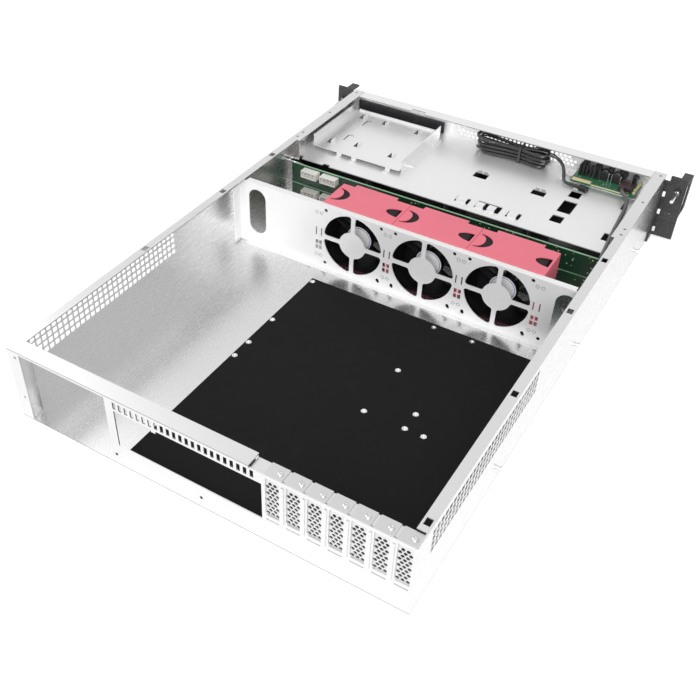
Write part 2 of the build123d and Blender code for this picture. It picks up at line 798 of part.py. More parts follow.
# Drive caddies with their swing levers
caddy_number = 0
lever_y = -caddy_bezel_depth - lever_gap - lever_barrel_radius
lever_ys = (lever_y - lever_barrel_radius, lever_y - lever_barrel_radius + lever_sheet)
for floor_z in caddy_zs:
    for bay_x in bay_xs:
        caddy_number += 1
        x0, x1 = around(bay_x, caddy_width)
        top_z = floor_z + caddy_height
        middle_z = floor_z + caddy_height / 2
        lever_zs = around(middle_z, lever_height)
        pivot = (x0 + lever_pivot_inset, lever_y, middle_z)
        with BuildPart() as caddy:
            block((x0, x1), (-caddy_bezel_depth, 0), (floor_z, top_z))
            hollow_zs = (floor_z + caddy_rim, top_z - caddy_rim)
            hollow_ys = (caddy_face - caddy_bezel_depth, 0)
            block((x0 + caddy_rim, x1 - caddy_rim), hollow_ys, hollow_zs, mode=Mode.SUBTRACT)
            block((x0, x1), (0, caddy_length), (floor_z, floor_z + caddy_wall))
            window = (x0 + caddy_floor_margin, x1 - caddy_floor_margin)
            window_ys = (caddy_floor_margin, caddy_length - caddy_floor_margin)
            block(window, window_ys, (floor_z, floor_z + caddy_wall), mode=Mode.SUBTRACT)
            for rail in ((x0, x0 + caddy_wall), (x1 - caddy_wall, x1)):
                block(rail, (0, caddy_length), (floor_z, floor_z + caddy_rail_height))
            with BuildSketch(Plane.XZ.offset(caddy_bezel_depth)):
                with Locations((bay_x, middle_z)):
                    with GridLocations(caddy_vent_pitch, 2 * caddy_vent_rise, caddy_vent_count, 2):
                        Rectangle(caddy_vent_width, caddy_vent_height)
            extrude(amount=-caddy_face, mode=Mode.SUBTRACT)
            knuckle = around(pivot[0], knuckle_width)
            knuckle_ys = (lever_ys[0], -caddy_bezel_depth)
            block(knuckle, knuckle_ys, (lever_zs[0] - lever_gap - knuckle_height, lever_zs[0] - lever_gap))
            block(knuckle, knuckle_ys, (lever_zs[1] + lever_gap, lever_zs[1] + lever_gap + knuckle_height))
            with Locations(pivot):
                bore_length = lever_height + 2 * (lever_gap + knuckle_height)
                Cylinder(lever_pin_radius + lever_clearance, bore_length, mode=Mode.SUBTRACT)
        save(caddy.part, f"drive_caddy_{caddy_number}")

        with BuildPart() as lever:
            block((pivot[0], pivot[0] + lever_length), lever_ys, lever_zs)
            grip_end = pivot[0] + lever_length - lever_grip / 2
            grip_zs = (lever_zs[0] + lever_sheet / 2, lever_zs[1] - lever_sheet / 2)
            grip_ys = (lever_ys[0], lever_ys[0] + lever_sheet / 2)
            block((grip_end - lever_grip, grip_end), grip_ys, grip_zs, mode=Mode.SUBTRACT)
            with Locations(pivot):
                Cylinder(lever_barrel_radius, lever_height)
                Cylinder(lever_pin_radius, lever_height + 2 * knuckle_height)
        save(lever.part, f"caddy_lever_{caddy_number}")

# Backplanes: two boards across the cage, their brackets, drive connectors and power sockets
upper_board_top = board_zs[1] + board_height
with BuildPart() as backplane_brackets:
    for side, reach, top in ((1, board_left_x, upper_board_top), (-1, -board_right_x, bracket_right_top)):
        plate = on_side(side, reach - bracket_width, inner_x)
        block(plate, (board_front_y - sheet, board_front_y), (sheet, top))
        web = on_side(side, inner_x - sheet, inner_x)
        block(web, (cage_rear_y + sheet, board_front_y - sheet), (sheet, top))
save(backplane_brackets.part, "backplane_brackets")

board_middle_x = (board_left_x + board_right_x) / 2
for label, board_z in zip(("lower_backplane", "upper_backplane"), board_zs):
    with BuildPart() as backplane:
        board_xs = (board_right_x, board_left_x)
        block(board_xs, (board_front_y, board_rear_y), (board_z, board_z + board_height))
        with BuildSketch(Plane.XZ.offset(-board_front_y)):
            with Locations((board_middle_x, board_z + board_height / 2)):
                with GridLocations(bay_pitch, board_height, bay_columns - 1, 1):
                    Circle(board_vent_radius)
        extrude(amount=-board_sheet, mode=Mode.SUBTRACT)
    save(backplane.part, label)

with BuildPart() as drive_connectors:
    for board_z in board_zs:
        connector_z = board_z + drive_connector_rise
        connector_ys = (board_front_y - drive_connector_depth, board_front_y)
        for bay_x in bay_xs:
            connector_zs = (connector_z, connector_z + drive_connector_height)
            block(around(bay_x, drive_connector_width), connector_ys, connector_zs)
save(drive_connectors.part, "drive_connectors")

with BuildPart() as power_sockets:
    for board_z in board_zs:
        socket_z = board_z + board_height - socket_drop - socket_height / 2
        for x in socket_xs:
            socket_ys = (board_rear_y, board_rear_y + socket_depth)
            block(around(x, socket_width), socket_ys, around(socket_z, socket_height))
            hollow = around(x, socket_width - 2 * socket_wall)
            hollow_ys = (board_rear_y + socket_wall, board_rear_y + socket_depth)
            block(hollow, hollow_ys, around(socket_z, socket_height - 2 * socket_wall), mode=Mode.SUBTRACT)
            with BuildSketch(Plane.XZ.offset(-board_rear_y)):
                with Locations((x, socket_z)):
                    with GridLocations(socket_pin_pitch, socket_height, 4, 1):
                        Rectangle(socket_pin, socket_pin)
            extrude(amount=socket_wall - socket_depth)
save(power_sockets.part, "power_sockets")

# Optical drive tray: raised floor between two walls on the deck, and a blank in the front
with BuildPart() as optical_tray:
    with BuildSketch(Plane.XY.offset(tray_floor_z)) as tray_floor:
        with Locations((tray_right_x, tray_front_y)):
            tray_size = (tray_left_x - tray_right_x, tray_rear_y - tray_front_y)
            Rectangle(*tray_size, align=(Align.MIN, Align.MIN))
        corner = tray_floor.vertices().sort_by(Axis.X)[-2:].sort_by(Axis.Y)[-1]
        fillet(corner, radius=tray_corner)
        with Locations(*tray_slot_corners):
            Rectangle(tray_slot, tray_slot_length, align=(Align.MAX, Align.MIN), mode=Mode.SUBTRACT)
            Rectangle(tray_slot_length / 2, tray_slot, align=(Align.MAX, Align.MIN), mode=Mode.SUBTRACT)
        with Locations(*tray_tab_corners):
            tab = ((0, 0), (0, tray_tab_length), (-tray_tab_width, tray_tab_length))
            Polygon(*tab, align=None, mode=Mode.SUBTRACT)
    extrude(amount=tray_sheet)
    wall_ys = (tray_front_y, tray_rear_y - tray_corner - tray_sheet)
    block((tray_right_x, tray_right_x + tray_sheet), wall_ys, (deck_z, tray_top_z))
    block((tray_left_x - tray_sheet, tray_left_x), wall_ys, (deck_z, tray_top_z))
    block((tray_right_x - tray_foot, tray_right_x), tray_foot_ys, (deck_z, deck_z + tray_sheet))
    lip_zs = (tray_floor_z, tray_floor_z + tray_front_lip)
    lip_ys = (tray_front_y, tray_front_y + tray_sheet)
    block((tray_right_x + tray_foot, tray_left_x - tray_foot), lip_ys, lip_zs)
    for x in tray_leg_xs:
        leg = around(x, tray_foot)
        block(leg, (tray_rear_y - tray_sheet, tray_rear_y), (deck_z, tray_floor_z + tray_sheet))
        block(leg, (tray_rear_y, tray_rear_y + tray_foot), (deck_z, deck_z + tray_sheet))
    for x, y in tray_tab_corners:
        tab_xs = (x - tray_tab_width - tray_sheet, x - tray_tab_width)
        tab_zs = (tray_floor_z + tray_sheet, tray_floor_z + tray_sheet + tray_tab_rise)
        block(tab_xs, (y + tray_tab_length / 4, y + tray_tab_length), tab_zs)
save(optical_tray.part, "optical_tray")

with BuildPart() as optical_blank:
    blank_xs = (optical_xs[0] - optical_margin, optical_xs[1] + optical_margin)
    blank_zs = (deck_z, optical_opening_z + optical_opening_height + optical_margin)
    block(blank_xs, (sheet, sheet + blank_depth), blank_zs)
save(optical_blank.part, "optical_blank")

# Front port board on its bracket, with ports, lamp block, switches and headers
io_ear_x = io_board_left + io_ear
io_ear_y = (io_board_front + io_board_rear) / 2 - io_bracket_inset / 2
pillar_xs = (io_board_right + io_pillar_inset, io_board_left - io_pillar_inset)
pillar_ys = (io_board_front + io_pillar_inset, io_board_rear - io_bracket_inset - io_pillar_radius)
with BuildPart() as io_board_bracket:
    bracket_ys = (io_board_front, io_board_rear - io_bracket_inset)
    block((io_board_right, io_ear_x), bracket_ys, (deck_z, deck_z + io_bracket_sheet))
    with BuildSketch(Plane.XY.offset(deck_z)):
        with Locations(*[(x, y) for x in pillar_xs for y in pillar_ys]):
            Circle(io_pillar_radius)
    extrude(amount=io_board_z - deck_z)
    with BuildSketch(Plane.XY.offset(io_board_z - io_bracket_sheet)):
        with Locations((io_board_left, io_ear_y)):
            base_half, tip_half = io_ear / 2, io_ear_tip / 2
            Polygon((0, -base_half), (io_ear, -tip_half), (io_ear, tip_half), (0, base_half), align=None)
            with Locations((io_ear / 2, 0)):
                Circle(screw_radius, mode=Mode.SUBTRACT)
    extrude(amount=io_bracket_sheet)
    block((io_ear_x - io_bracket_sheet, io_ear_x), around(io_ear_y, io_ear_tip), (deck_z, io_board_z))
save(io_board_bracket.part, "io_board_bracket")

with BuildPart() as io_board:
    block((io_board_right, io_board_left), (io_board_front, io_board_rear), (io_board_z, io_board_top))
save(io_board.part, "io_board")

switch_y = button_length - button_reach + button_travel + seat_gap
with BuildPart() as io_connectors:
    for x in port_xs:
        shell_ys = (collar_y, collar_y + port_depth)
        shell_zs = (io_board_top, port_z + port_height / 2 + port_wall)
        block(around(x, port_width + 2 * port_wall), shell_ys, shell_zs)
        hollow_ys = (collar_y, collar_y + port_depth - port_wall)
        block(around(x, port_width), hollow_ys, around(port_z, port_height), mode=Mode.SUBTRACT)
    lamp_block_zs = (io_board_top, lamp_zs[-1] + lamp_radius)
    block(around(lamp_x, 3 * lamp_radius), (collar_y, port_depth), lamp_block_zs)
    for x, width in ((power_x, 2 * power_radius), (reset_x, 2 * reset_radius)):
        switch_zs = (io_board_top, button_z + power_radius)
        block(around(x, width), (switch_y, switch_y + switch_depth), switch_zs)
    signal_x, signal_y, _ = signal_points[0]
    signal_socket_zs = (io_board_top, signal_socket_top)
    block(around(signal_x, signal_socket_width), (switch_y + switch_depth, signal_y), signal_socket_zs)
    for x0, x1, y0, y1, height in headers:
        block((x0, x1), (y0, y1), (io_board_top, io_board_top + height))
save(io_connectors.part, "io_connectors")

# Rack ears: black angle on each front corner, with a bar handle and a captive thumbscrew
thumb_z = ear_low_hole_z + ear_hole_spacing
with BuildPart() as rack_ears:
    for side in (1, -1):
        plate = on_side(side, half_width, rack_width / 2)
        block(plate, (0, ear_sheet), (ear_bottom_z, case_height))
        corner = on_side(side, half_width, half_width + ear_notch_width)
        block(corner, (0, ear_sheet), (ear_notch_z, case_height), mode=Mode.SUBTRACT)
        flange = on_side(side, half_width, half_width + ear_flange_sheet)
        flange_zs = (ear_flange_bottom_z, ear_flange_bottom_z + ear_flange_height)
        block(flange, (ear_sheet, ear_flange_length), flange_zs)
        cut = on_side(side, half_width, half_width + ear_cut_width)
        for z in ear_cut_zs:
            block(cut, (0, 2 * ear_sheet), around(z, ear_cut_height), mode=Mode.SUBTRACT)
        with BuildSketch(Plane.XZ):
            with Locations((side * ear_hole_x, ear_low_hole_z)):
                Circle(ear_hole_radius)
            with Locations((side * ear_hole_x, thumb_z)):
                Circle(thumb_shank_radius + thumb_clearance)
        extrude(amount=-ear_sheet, mode=Mode.SUBTRACT)
save(rack_ears.part, "rack_ears")

handle_top_z = handle_bottom_z + handle_height
with BuildPart() as handles:
    for side in (1, -1):
        for leg_z in (handle_bottom_z, handle_top_z - handle_leg):
            leg = on_side(side, handle_inner_x, handle_outer_x)
            block(leg, (-handle_reach, 0), (leg_z, leg_z + handle_leg))
        grip = on_side(side, handle_outer_x - handle_grip, handle_outer_x)
        grip_zs = (handle_bottom_z + handle_leg, handle_top_z - handle_leg)
        block(grip, (-handle_reach, handle_grip_depth - handle_reach), grip_zs)
save(handles.part, "handles")

thumb_stations = (
    (seat_gap, thumb_head_radius, thumb_head),
    (-thumb_shank, thumb_shank_radius, thumb_shank + seat_gap),
    (-ear_sheet - seat_gap - thumb_collar, thumb_collar_radius, thumb_collar),
)
for label, side in (("thumbscrew_left", 1), ("thumbscrew_right", -1)):
    with BuildPart() as thumbscrew:
        for station, radius, length in thumb_stations:
            with BuildSketch(Plane.XZ.offset(station)):
                with Locations((side * ear_hole_x, thumb_z)):
                    Circle(radius)
            extrude(amount=length)
    save(thumbscrew.part, label)

# Insulating sheet on the floor and the board standoffs through it
standoff_xy = [(x, y) for y, row in standoff_rows.items() for x in row]
with BuildPart() as insulating_sheet:
    film_rear_y = panel_y - foot_depth - seat_gap
    block((film_clearance - inner_x, film_left_x), (film_front_y, film_rear_y), (sheet, sheet + film))
    with BuildSketch(Plane.XY.offset(sheet)):
        with Locations(*standoff_xy):
            Circle(standoff_radius + film_clearance)
    extrude(amount=film, mode=Mode.SUBTRACT)
save(insulating_sheet.part, "insulating_sheet")

with BuildPart() as standoffs:
    with BuildSketch(Plane.XY.offset(sheet)):
        with Locations(*standoff_xy):
            Circle(standoff_radius)
            Circle(standoff_hole, mode=Mode.SUBTRACT)
    extrude(amount=standoff_height - sheet)
save(standoffs.part, "standoffs")

# Front power lead: a tied hank on the deck, and its free end to the port board
hank_z = deck_z + tie_sheet
hank_top = hank_z + hank_height
with BuildPart() as cable_hank:
    with BuildSketch(Plane.XY.offset(hank_z)):
        Polygon(
            (hank_left_x, hank_y - hank_end_width / 2),
            (hank_left_x, hank_y + hank_end_width / 2),
            (hank_waist_x, hank_y + hank_waist_width / 2),
            (hank_right_x, hank_y + hank_end_width / 2),
            (hank_right_x, hank_y - hank_end_width / 2),
            (hank_waist_x, hank_y - hank_waist_width / 2),
            align=None,
        )
    extrude(amount=hank_height)
save(cable_hank.part, "cable_hank")

with BuildPart() as cable_tie:
    tie = around(hank_waist_x, tie_width)
    tie_inner_width = hank_waist_width + 2 * seat_gap
    block(tie, around(hank_y, tie_inner_width + 2 * tie_sheet), (deck_z, hank_top + tie_sheet))
    block(tie, around(hank_y, tie_inner_width), (hank_z, hank_top), mode=Mode.SUBTRACT)
save(cable_tie.part, "cable_tie")


def corner_radii(points):
    """Give the largest tangent arc that the two runs at each inner point allow."""
    vectors = [Vector(*point) for point in points]
    radii = []
    for before, here, after in zip(vectors, vectors[1:], vectors[2:]):
        run_in, run_out = here - before, after - here
        half_turn = radians(run_in.get_angle(run_out) / 2)
        radii.append(0.45 * min(run_in.length, run_out.length) / tan(half_turn))
    return radii


plug_planes = []
for label, points in (("power_lead", lead_points), ("signal_cable", signal_points)):
    radii = corner_radii(points)
    with BuildPart() as tube:
        with BuildLine() as route:
            FilletPolyline(*points, radius=radii)
        path = route.wires()[0]
        with BuildSketch(Plane(origin=path @ 0, z_dir=path % 0)):
            Circle(cord / 2)
        sweep(path=path)
    end_direction = path % 1
    across = Vector(0, 0, 1).cross(end_direction)
    plug_planes.append(Plane(origin=path @ 1, x_dir=across, z_dir=end_direction))
    section = pi * cord**2 / 4
    print(label, "radii", [round(radius, 1) for radius in radii])
    print(label, "volume over section times length", round(tube.part.volume / (section * path.length), 4))
    save(tube.part, label)

with BuildPart() as cable_plugs:
    for plane in plug_planes:
        with BuildSketch(plane):
            RectangleRounded(plug_width, plug_height, sheet)
        extrude(amount=plug_length)
    loose_ys = around(loose_plug_y, plug_height)
    block(around(loose_plug_x, plug_length), loose_ys, (hank_top, hank_top + plug_height))
save(cable_plugs.part, "cable_plugs")
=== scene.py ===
"""An empty two-unit rackmount case with its lid off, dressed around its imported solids."""

import math

import bmesh
import bpy
from mathutils import Matrix, Vector


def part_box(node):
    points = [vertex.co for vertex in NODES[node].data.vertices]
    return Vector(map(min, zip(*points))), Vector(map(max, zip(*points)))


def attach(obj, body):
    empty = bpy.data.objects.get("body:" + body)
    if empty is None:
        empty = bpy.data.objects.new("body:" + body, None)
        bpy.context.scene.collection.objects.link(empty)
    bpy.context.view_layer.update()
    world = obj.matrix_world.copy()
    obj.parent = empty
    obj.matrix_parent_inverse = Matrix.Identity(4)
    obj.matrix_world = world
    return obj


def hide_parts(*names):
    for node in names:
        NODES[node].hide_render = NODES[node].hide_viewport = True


bl_info = {
    "name": "Rackmount case",
    "version": (1, 0, 0),
    "blender": (4, 5, 0),
    "location": "View3D > Sidebar > Rackmount case",
    "description": "Finishes, fittings, boards, fans and cables of a two-unit rackmount case",
    "category": "Object",
}

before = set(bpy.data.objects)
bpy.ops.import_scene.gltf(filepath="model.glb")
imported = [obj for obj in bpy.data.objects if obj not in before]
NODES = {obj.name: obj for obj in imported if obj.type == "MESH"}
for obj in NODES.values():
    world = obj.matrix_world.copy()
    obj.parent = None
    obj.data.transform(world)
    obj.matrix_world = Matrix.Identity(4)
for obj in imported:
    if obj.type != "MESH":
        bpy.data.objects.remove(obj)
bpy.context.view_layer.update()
MM = 0.001
UP = Vector((0, 0, 1))
SHEET, SLOT_TOP = 0.0012, 0.0848
SLOTS = 7
CASE_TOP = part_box("chassis_tray")[1].z

# The camera at the photograph's angle, and each lamp's place, aim and size, in metres and degrees
CAMERA_PLACE = (-0.36710, 1.06753, 0.64465)
CAMERA_TURN = (48.8086, -0.2742, -147.6476)
CAMERA_SHIFT = (0.0703, 0.0182)
LAMPS = {
    "key": ((-1.0, 2.9, 1.8), (0, 0.35, 0), 2.2),
    "fill": ((1.9, 0.2, 1.9), (0, 0.3, 0), 1.8),
}

# Marks on the fan wall and rear panel, in millimetres. Groups stand between the fans.
GROUP_XS = tuple(100.75 - 89.3 * i for i in range(4))
WALL_FOOT = 12.0
HEXAGON_ZS = (76.0, 18.2)
HEXAGON_TURN = 0.26
HOLE_Z = 11.6
RIVET_OUT = 5.5
REAR_DIMPLES = ((91.5, 13.4), (-6.7, 13.4))
REAR_Y = 658.0

# Upstanding tabs in the deck's openings: two ends across the case, rear face
DECK_TABS = (
    (-18.6, -12.6, 72.4), (-10.2, -4.2, 72.4), (-94.6, -88.8, 73.6), (-86.8, -81.0, 73.6),
    (-126.9, -121.2, 51.3),
)
DECK_TOP = 60.0

# Fans and their carriers, in millimetres
RING_BORE, RING_HALF = 38.2, 39.9
CARRIER_LEG = 2.6
SEAL_REACH = 26.0
HUB_RADIUS, LABEL_RADIUS, BLADE_ROOT, BLADE_TIP = 16.5, 15.6, 15.5, 36.9

# Port board fittings by their middles across the case, switches with half their width, and cans
# with their place and radius
PORT_XS, PORT_FRONT = (-120.0, -136.0), 1.5
UPRIGHT_XS = (-116.4, -120.6, -124.8, -129.8, -135.2, -140.2)
CHOKE_XS = (-146.6, -161.4)
SWITCHES = ((-166.0, 5.2), (-182.0, 2.4))
PIN_FIRST_X, PIN_PITCH, PINS = -137.6, 5.4, 9
CREAM_CANS = ((-187.6, 22.0, 2.0), (-188.2, 29.4, 1.8))

# Cable routes, point by point. The hank's runs cross its tie, and each is followed by a fold.
LEAD_ROUTE = (
    (-125.5, 44.5, 63.0), (-113.0, 44.2, 63.0), (-105.0, 42.0, 63.4), (-101.0, 31.0, 66.4),
    (-95.0, 18.5, 71.0), (-86.0, 14.0, 75.5),
)
SIGNAL_ROUTE = (
    (-173.0, 26.0, 69.0), (-173.2, 36.0, 69.4), (-180.4, 43.0, 69.2), (-187.0, 52.0, 67.8),
    (-189.6, 66.0, 65.4), (-190.6, 84.0, 63.2), (-192.2, 111.0, 62.8), (-194.2, 137.0, 62.9),
    (-196.4, 158.0, 63.0), (-197.9, 177.0, 62.6), (-203.0, 188.0, 54.0), (-204.2, 195.0, 41.5),
    (-200.0, 205.0, 30.0), (-193.0, 217.0, 23.0), (-188.0, 231.0, 21.5), (-186.0, 244.0, 27.5),
    (-187.5, 252.0, 39.0),
)
TIE_X = -38.0
HANK_RUNS = (
    (17.0, 77.0), (12.7, 72.6), (21.3, 68.0), (12.7, 63.3), (21.3, 63.3), (17.0, 67.6), (17.0, 72.2),
    (12.7, 67.9), (21.3, 72.6), (12.9, 77.1),
)
HANK_FOLDS = (
    (19.0, 25.2, 9.0, 78.4, 73.0), (-74.5, 8.8, 25.2, 72.4, 68.2), (20.5, 25.2, 9.0, 67.6, 63.4),
    (-71.0, 9.0, 25.2, 63.2, 63.2), (14.0, 24.6, 10.4, 63.2, 67.4), (-66.0, 10.2, 24.2, 67.4, 72.0),
    (12.0, 24.0, 10.6, 72.0, 68.0), (-75.5, 8.8, 25.0, 67.8, 72.4), (19.5, 25.4, 9.2, 72.4, 79.2),
    (-73.0, 8.8, 24.8, 80.6, 77.6),
)
HANK_START = ((-76.0, 14.5, 79.0), (-64.0, 16.0, 80.2), (-50.0, 17.0, 78.6))
HANK_END = (
    (-38.0, 21.1, 77.0), (-24.0, 21.8, 77.4), (-9.0, 22.8, 77.8), (6.0, 23.4, 78.4), (17.0, 22.6, 79.6),
    (22.5, 19.0, 81.0), (22.0, 13.6, 82.2), (17.0, 11.0, 82.5), (10.0, 11.0, 82.5),
)


# Shader trees


class Value:
    """One output of a shader node. Python's operators on it add Math nodes."""

    def __init__(self, finish, socket):
        self.finish = finish
        self.socket = socket

    def math(self, operation, *values):
        return self.finish.add("ShaderNodeMath", {"operation": operation}, values)

    def __add__(self, other):
        return self.math("ADD", self, other)

    def __sub__(self, other):
        return self.math("SUBTRACT", self, other)

    def __mul__(self, other):
        return self.math("MULTIPLY", self, other)

    def __rsub__(self, other):
        return self.math("SUBTRACT", other, self)

    def __gt__(self, other):
        return self.math("GREATER_THAN", self, other)

    def __lt__(self, other):
        return self.math("LESS_THAN", self, other)

    def __abs__(self):
        return self.math("ABSOLUTE", self)

    def wrap(self, pitch):
        return self.math("MODULO", self.math("ADD", self, 1000 * pitch), pitch)

    __radd__ = __add__
    __rmul__ = __mul__


class Finish:
    """A material and the nodes of its shader."""

    def __init__(self, name):
        self.material = bpy.data.materials.new(name)
        self.material.use_nodes = True
        self.tree = self.material.node_tree
        self.shader = self.tree.nodes["Principled BSDF"]
        coordinates = self.tree.nodes.new("ShaderNodeTexCoord")
        self.place = Value(self, coordinates.outputs["Object"])

    def feed(self, socket, value):
        if isinstance(value, Value):
            self.tree.links.new(value.socket, socket)
        elif hasattr(socket.default_value, "__len__") and not hasattr(value, "__len__"):
            socket.default_value = (value,) * len(socket.default_value)
        elif hasattr(value, "__len__") and len(socket.default_value) == 4 and len(value) == 3:
            socket.default_value = (*value, 1)
        else:
            socket.default_value = value

    def add(self, kind, settings=None, values=(), out=0):
        """Add a node: its settings, then what its inputs hold, by place or by name."""
        node = self.tree.nodes.new(kind)
        for key, setting in (settings or {}).items():
            if key == "stops":
                ramp = node.color_ramp
                while len(ramp.elements) < len(setting):
                    ramp.elements.new(1)
                for element, (position, colour) in zip(ramp.elements, setting):
                    element.position = position
                    element.color = (*colour, 1)
            else:
                setattr(node, key, setting)
        pairs = values.items() if isinstance(values, dict) else enumerate(values)
        for key, value in pairs:
            self.feed(node.inputs[key], value)
        return Value(self, node.outputs[out])

    def spread(self, size):
        """Object coordinates, scaled by one factor for each direction."""
        return self.add("ShaderNodeMapping", None, {"Vector": self.place, "Scale": size})

    def noise(self, scale, detail=2.0, rough=0.5, place=None):
        values = {"Vector": place or self.place, "Scale": scale, "Detail": detail, "Roughness": rough}
        return self.add("ShaderNodeTexNoise", None, values)

    def cells(self, scale, out=0):
        return self.add("ShaderNodeTexVoronoi", None, {"Vector": self.place, "Scale": scale}, out)

    def axis(self, index):
        return self.add("ShaderNodeSeparateXYZ", None, (self.place,), index)

    def mix(self, factor, first, second):
        node = self.tree.nodes.new("ShaderNodeMix")
        node.data_type = "RGBA"
        for index, value in ((0, factor), (6, first), (7, second)):
            self.feed(node.inputs[index], value)
        return Value(self, node.outputs[2])

    def fade(self, value, start, end, most):
        """Nothing up to one value, rising to the most at another."""
        stops = ((start, (0, 0, 0)), (end, (most,) * 3))
        return self.add("ShaderNodeValToRGB", {"stops": stops}, (value,))

    def bump(self, height, strength=0.2, distance=0.0002):
        values = {"Height": height, "Strength": strength, "Distance": distance}
        return self.add("ShaderNodeBump", None, values)

    def set(self, **sockets):
        names = {"colour": "Base Color", "rough": "Roughness", "metal": "Metallic", "normal": "Normal",
                 "coat": "Coat Weight", "coat_rough": "Coat Roughness", "glow": "Emission Color",
                 "glow_strength": "Emission Strength", "specular": "Specular IOR Level"}
        for key, value in sockets.items():
            self.feed(self.shader.inputs[names[key]], value)
        return self.material


def shade(colour, factor):
    return tuple(min(1.0, channel * factor) for channel in colour)


ALONG_CASE = (900, 60, 900)
ACROSS_CASE = (60, 900, 900)


def sheet_steel(name, colour, rough, metal=0.96, grain=ALONG_CASE, speckle=0.04):
    """Rolled zinc-coated sheet: faint spangle, fine grain, specks, and dark bands of painted shade along its
    bottom edges and just below the case's top edge.
    """
    finish = Finish(name)
    cloud = finish.noise(9, 3, 0.55)
    spangle = finish.cells(160, out=1)
    lines = finish.noise(1, 2, 0.6, finish.spread(grain))
    specks = finish.noise(1400, 1, 0.5)
    body = finish.mix(cloud, shade(colour, 0.965), shade(colour, 1.03))
    body = finish.mix(finish.fade(lines, 0.3, 0.7, 0.05), body, shade(colour, 0.8))
    tint = finish.mix(spangle, shade(colour, 0.98), shade(colour, 1.01))
    body = finish.mix(speckle * 4, body, tint)
    body = finish.mix(finish.fade(specks, 0.62, 0.75, speckle * 2), body, shade(colour, 0.6))
    # Painted shade: a band about one sheet thick just above the bottom, and one just below the case's top
    # edge, are darkened towards three tenths of the colour. They stand in for the shading along folded edges.
    height, face = finish.axis(2), SHEET * 0.1
    low = (height > face) * (height < SHEET)
    high = (height > CASE_TOP - SHEET) * (height < CASE_TOP - face)
    body = finish.mix((low + high) * 0.8, body, shade(colour, 0.3))
    roughness = rough + (cloud - 0.5) * 0.06 + (lines - 0.5) * 0.08
    return finish.set(colour=body, rough=roughness, metal=metal, normal=finish.bump(lines, 0.03, 0.0001))


def coated(name, colour, rough, pebble=900, depth=0.12, coat=0.0, dust=0.04, sparkle=0.0, specular=0.5):
    """Powder coat or moulded plastic: fine pebbled surface with slight cloudiness and dust."""
    finish = Finish(name)
    cloud = finish.noise(14, 3, 0.6)
    grains = finish.noise(pebble, 2, 0.6)
    body = finish.mix(cloud, shade(colour, 0.9), shade(colour, 1.1))
    dusty = finish.fade(finish.noise(55, 4, 0.7), 0.55, 0.8, dust)
    body = finish.mix(dusty, body, (0.55, 0.55, 0.53))
    if sparkle:
        bright = finish.fade(finish.noise(2600, 0, 0.5), 0.66, 0.72, sparkle)
        body = finish.mix(bright, body, (0.7, 0.7, 0.7))
    roughness = rough + (cloud - 0.5) * 0.12
    return finish.set(colour=body, rough=roughness, metal=0, coat=coat, coat_rough=0.12,
                      specular=specular, normal=finish.bump(grains, depth, 0.0001))


def circuit(name, colour, track_pitch=0.0021, top=1.0):
    """Solder mask over copper tracks, with plated holes and a bare laminate edge along its top."""
    finish = Finish(name)
    x, y, z = (finish.axis(i) for i in range(3))
    wander = finish.noise(45, 2, 0.5) * 0.004
    tracks = abs((x + wander).wrap(track_pitch) - track_pitch / 2) < track_pitch * 0.2
    cross = abs((y + z + wander).wrap(track_pitch) - track_pitch / 2) < track_pitch * 0.2
    area = finish.noise(38, 1, 0.5) > 0.5
    run = tracks * area + cross * (1 - area)
    pour = finish.noise(24, 0, 0.5) > 0.58
    holes = finish.cells(230) < 0.22
    body = finish.mix(pour * 0.6, colour, shade(colour, 1.35))
    body = finish.mix(run * 0.55, body, shade(colour, 1.9))
    body = finish.mix(holes * (finish.noise(60, 1, 0.5) > 0.55), body, (0.62, 0.58, 0.36))
    body = finish.mix(z > top - 0.0007, body, (0.30, 0.55, 0.33))
    height = run * 0.6 + pour * 0.3
    return finish.set(colour=body, rough=0.32, metal=0, coat=0.35, coat_rough=0.2,
                      normal=finish.bump(height, 0.25, 0.0001))


def sleeve(name, colour, rough):
    """Cable jacket: glossy, with fine strands under it and scuffs."""
    finish = Finish(name)
    strands = finish.cells(625)
    scuffs = finish.fade(finish.noise(120, 3, 0.6), 0.5, 0.8, 0.22)
    body = finish.mix(scuffs, colour, shade(colour, 3.2))
    return finish.set(colour=body, rough=rough + (finish.noise(90, 2) - 0.5) * 0.15, metal=0, coat=0.7,
                      coat_rough=0.14, normal=finish.bump(strands, 0.15, 0.0002))


def turning_marks(finish):
    return finish.noise(1, 2, 0.5, finish.spread((700, 2600, 700)))


def screw_and_ring(name, reach):
    """A bright screw whose plastic ring lies past a distance along Y and outside its shank."""
    finish = Finish(name)
    low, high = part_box("thumbscrew_left")
    across = abs(abs(finish.axis(0)) - (low.x + high.x) / 2)
    height = abs(finish.axis(2) - (low.z + high.z) / 2)
    beside = finish.add("ShaderNodeMath", {"operation": "MAXIMUM"}, (across, height)) > 0.0021
    ring = beside * (finish.axis(1) > reach)
    body = finish.mix(finish.noise(300, 2), (0.74, 0.74, 0.75), (0.86, 0.86, 0.86))
    marks = turning_marks(finish)
    return finish.set(colour=finish.mix(ring, body, (0.014, 0.014, 0.015)), metal=1 - ring,
                      rough=0.22 + ring * 0.12 + (marks - 0.5) * 0.08, coat=ring * 0.6, coat_rough=0.15,
                      normal=finish.bump(marks, 0.08, 0.0001))


def bright_metal(name, colour, rough):
    """Plated or turned metal with fine turning marks."""
    finish = Finish(name)
    marks = turning_marks(finish)
    body = finish.mix(finish.noise(300, 2), shade(colour, 0.9), shade(colour, 1.05))
    return finish.set(colour=body, rough=rough + (marks - 0.5) * 0.1, metal=1.0,
                      normal=finish.bump(marks, 0.08, 0.0001))


# Geometry trees


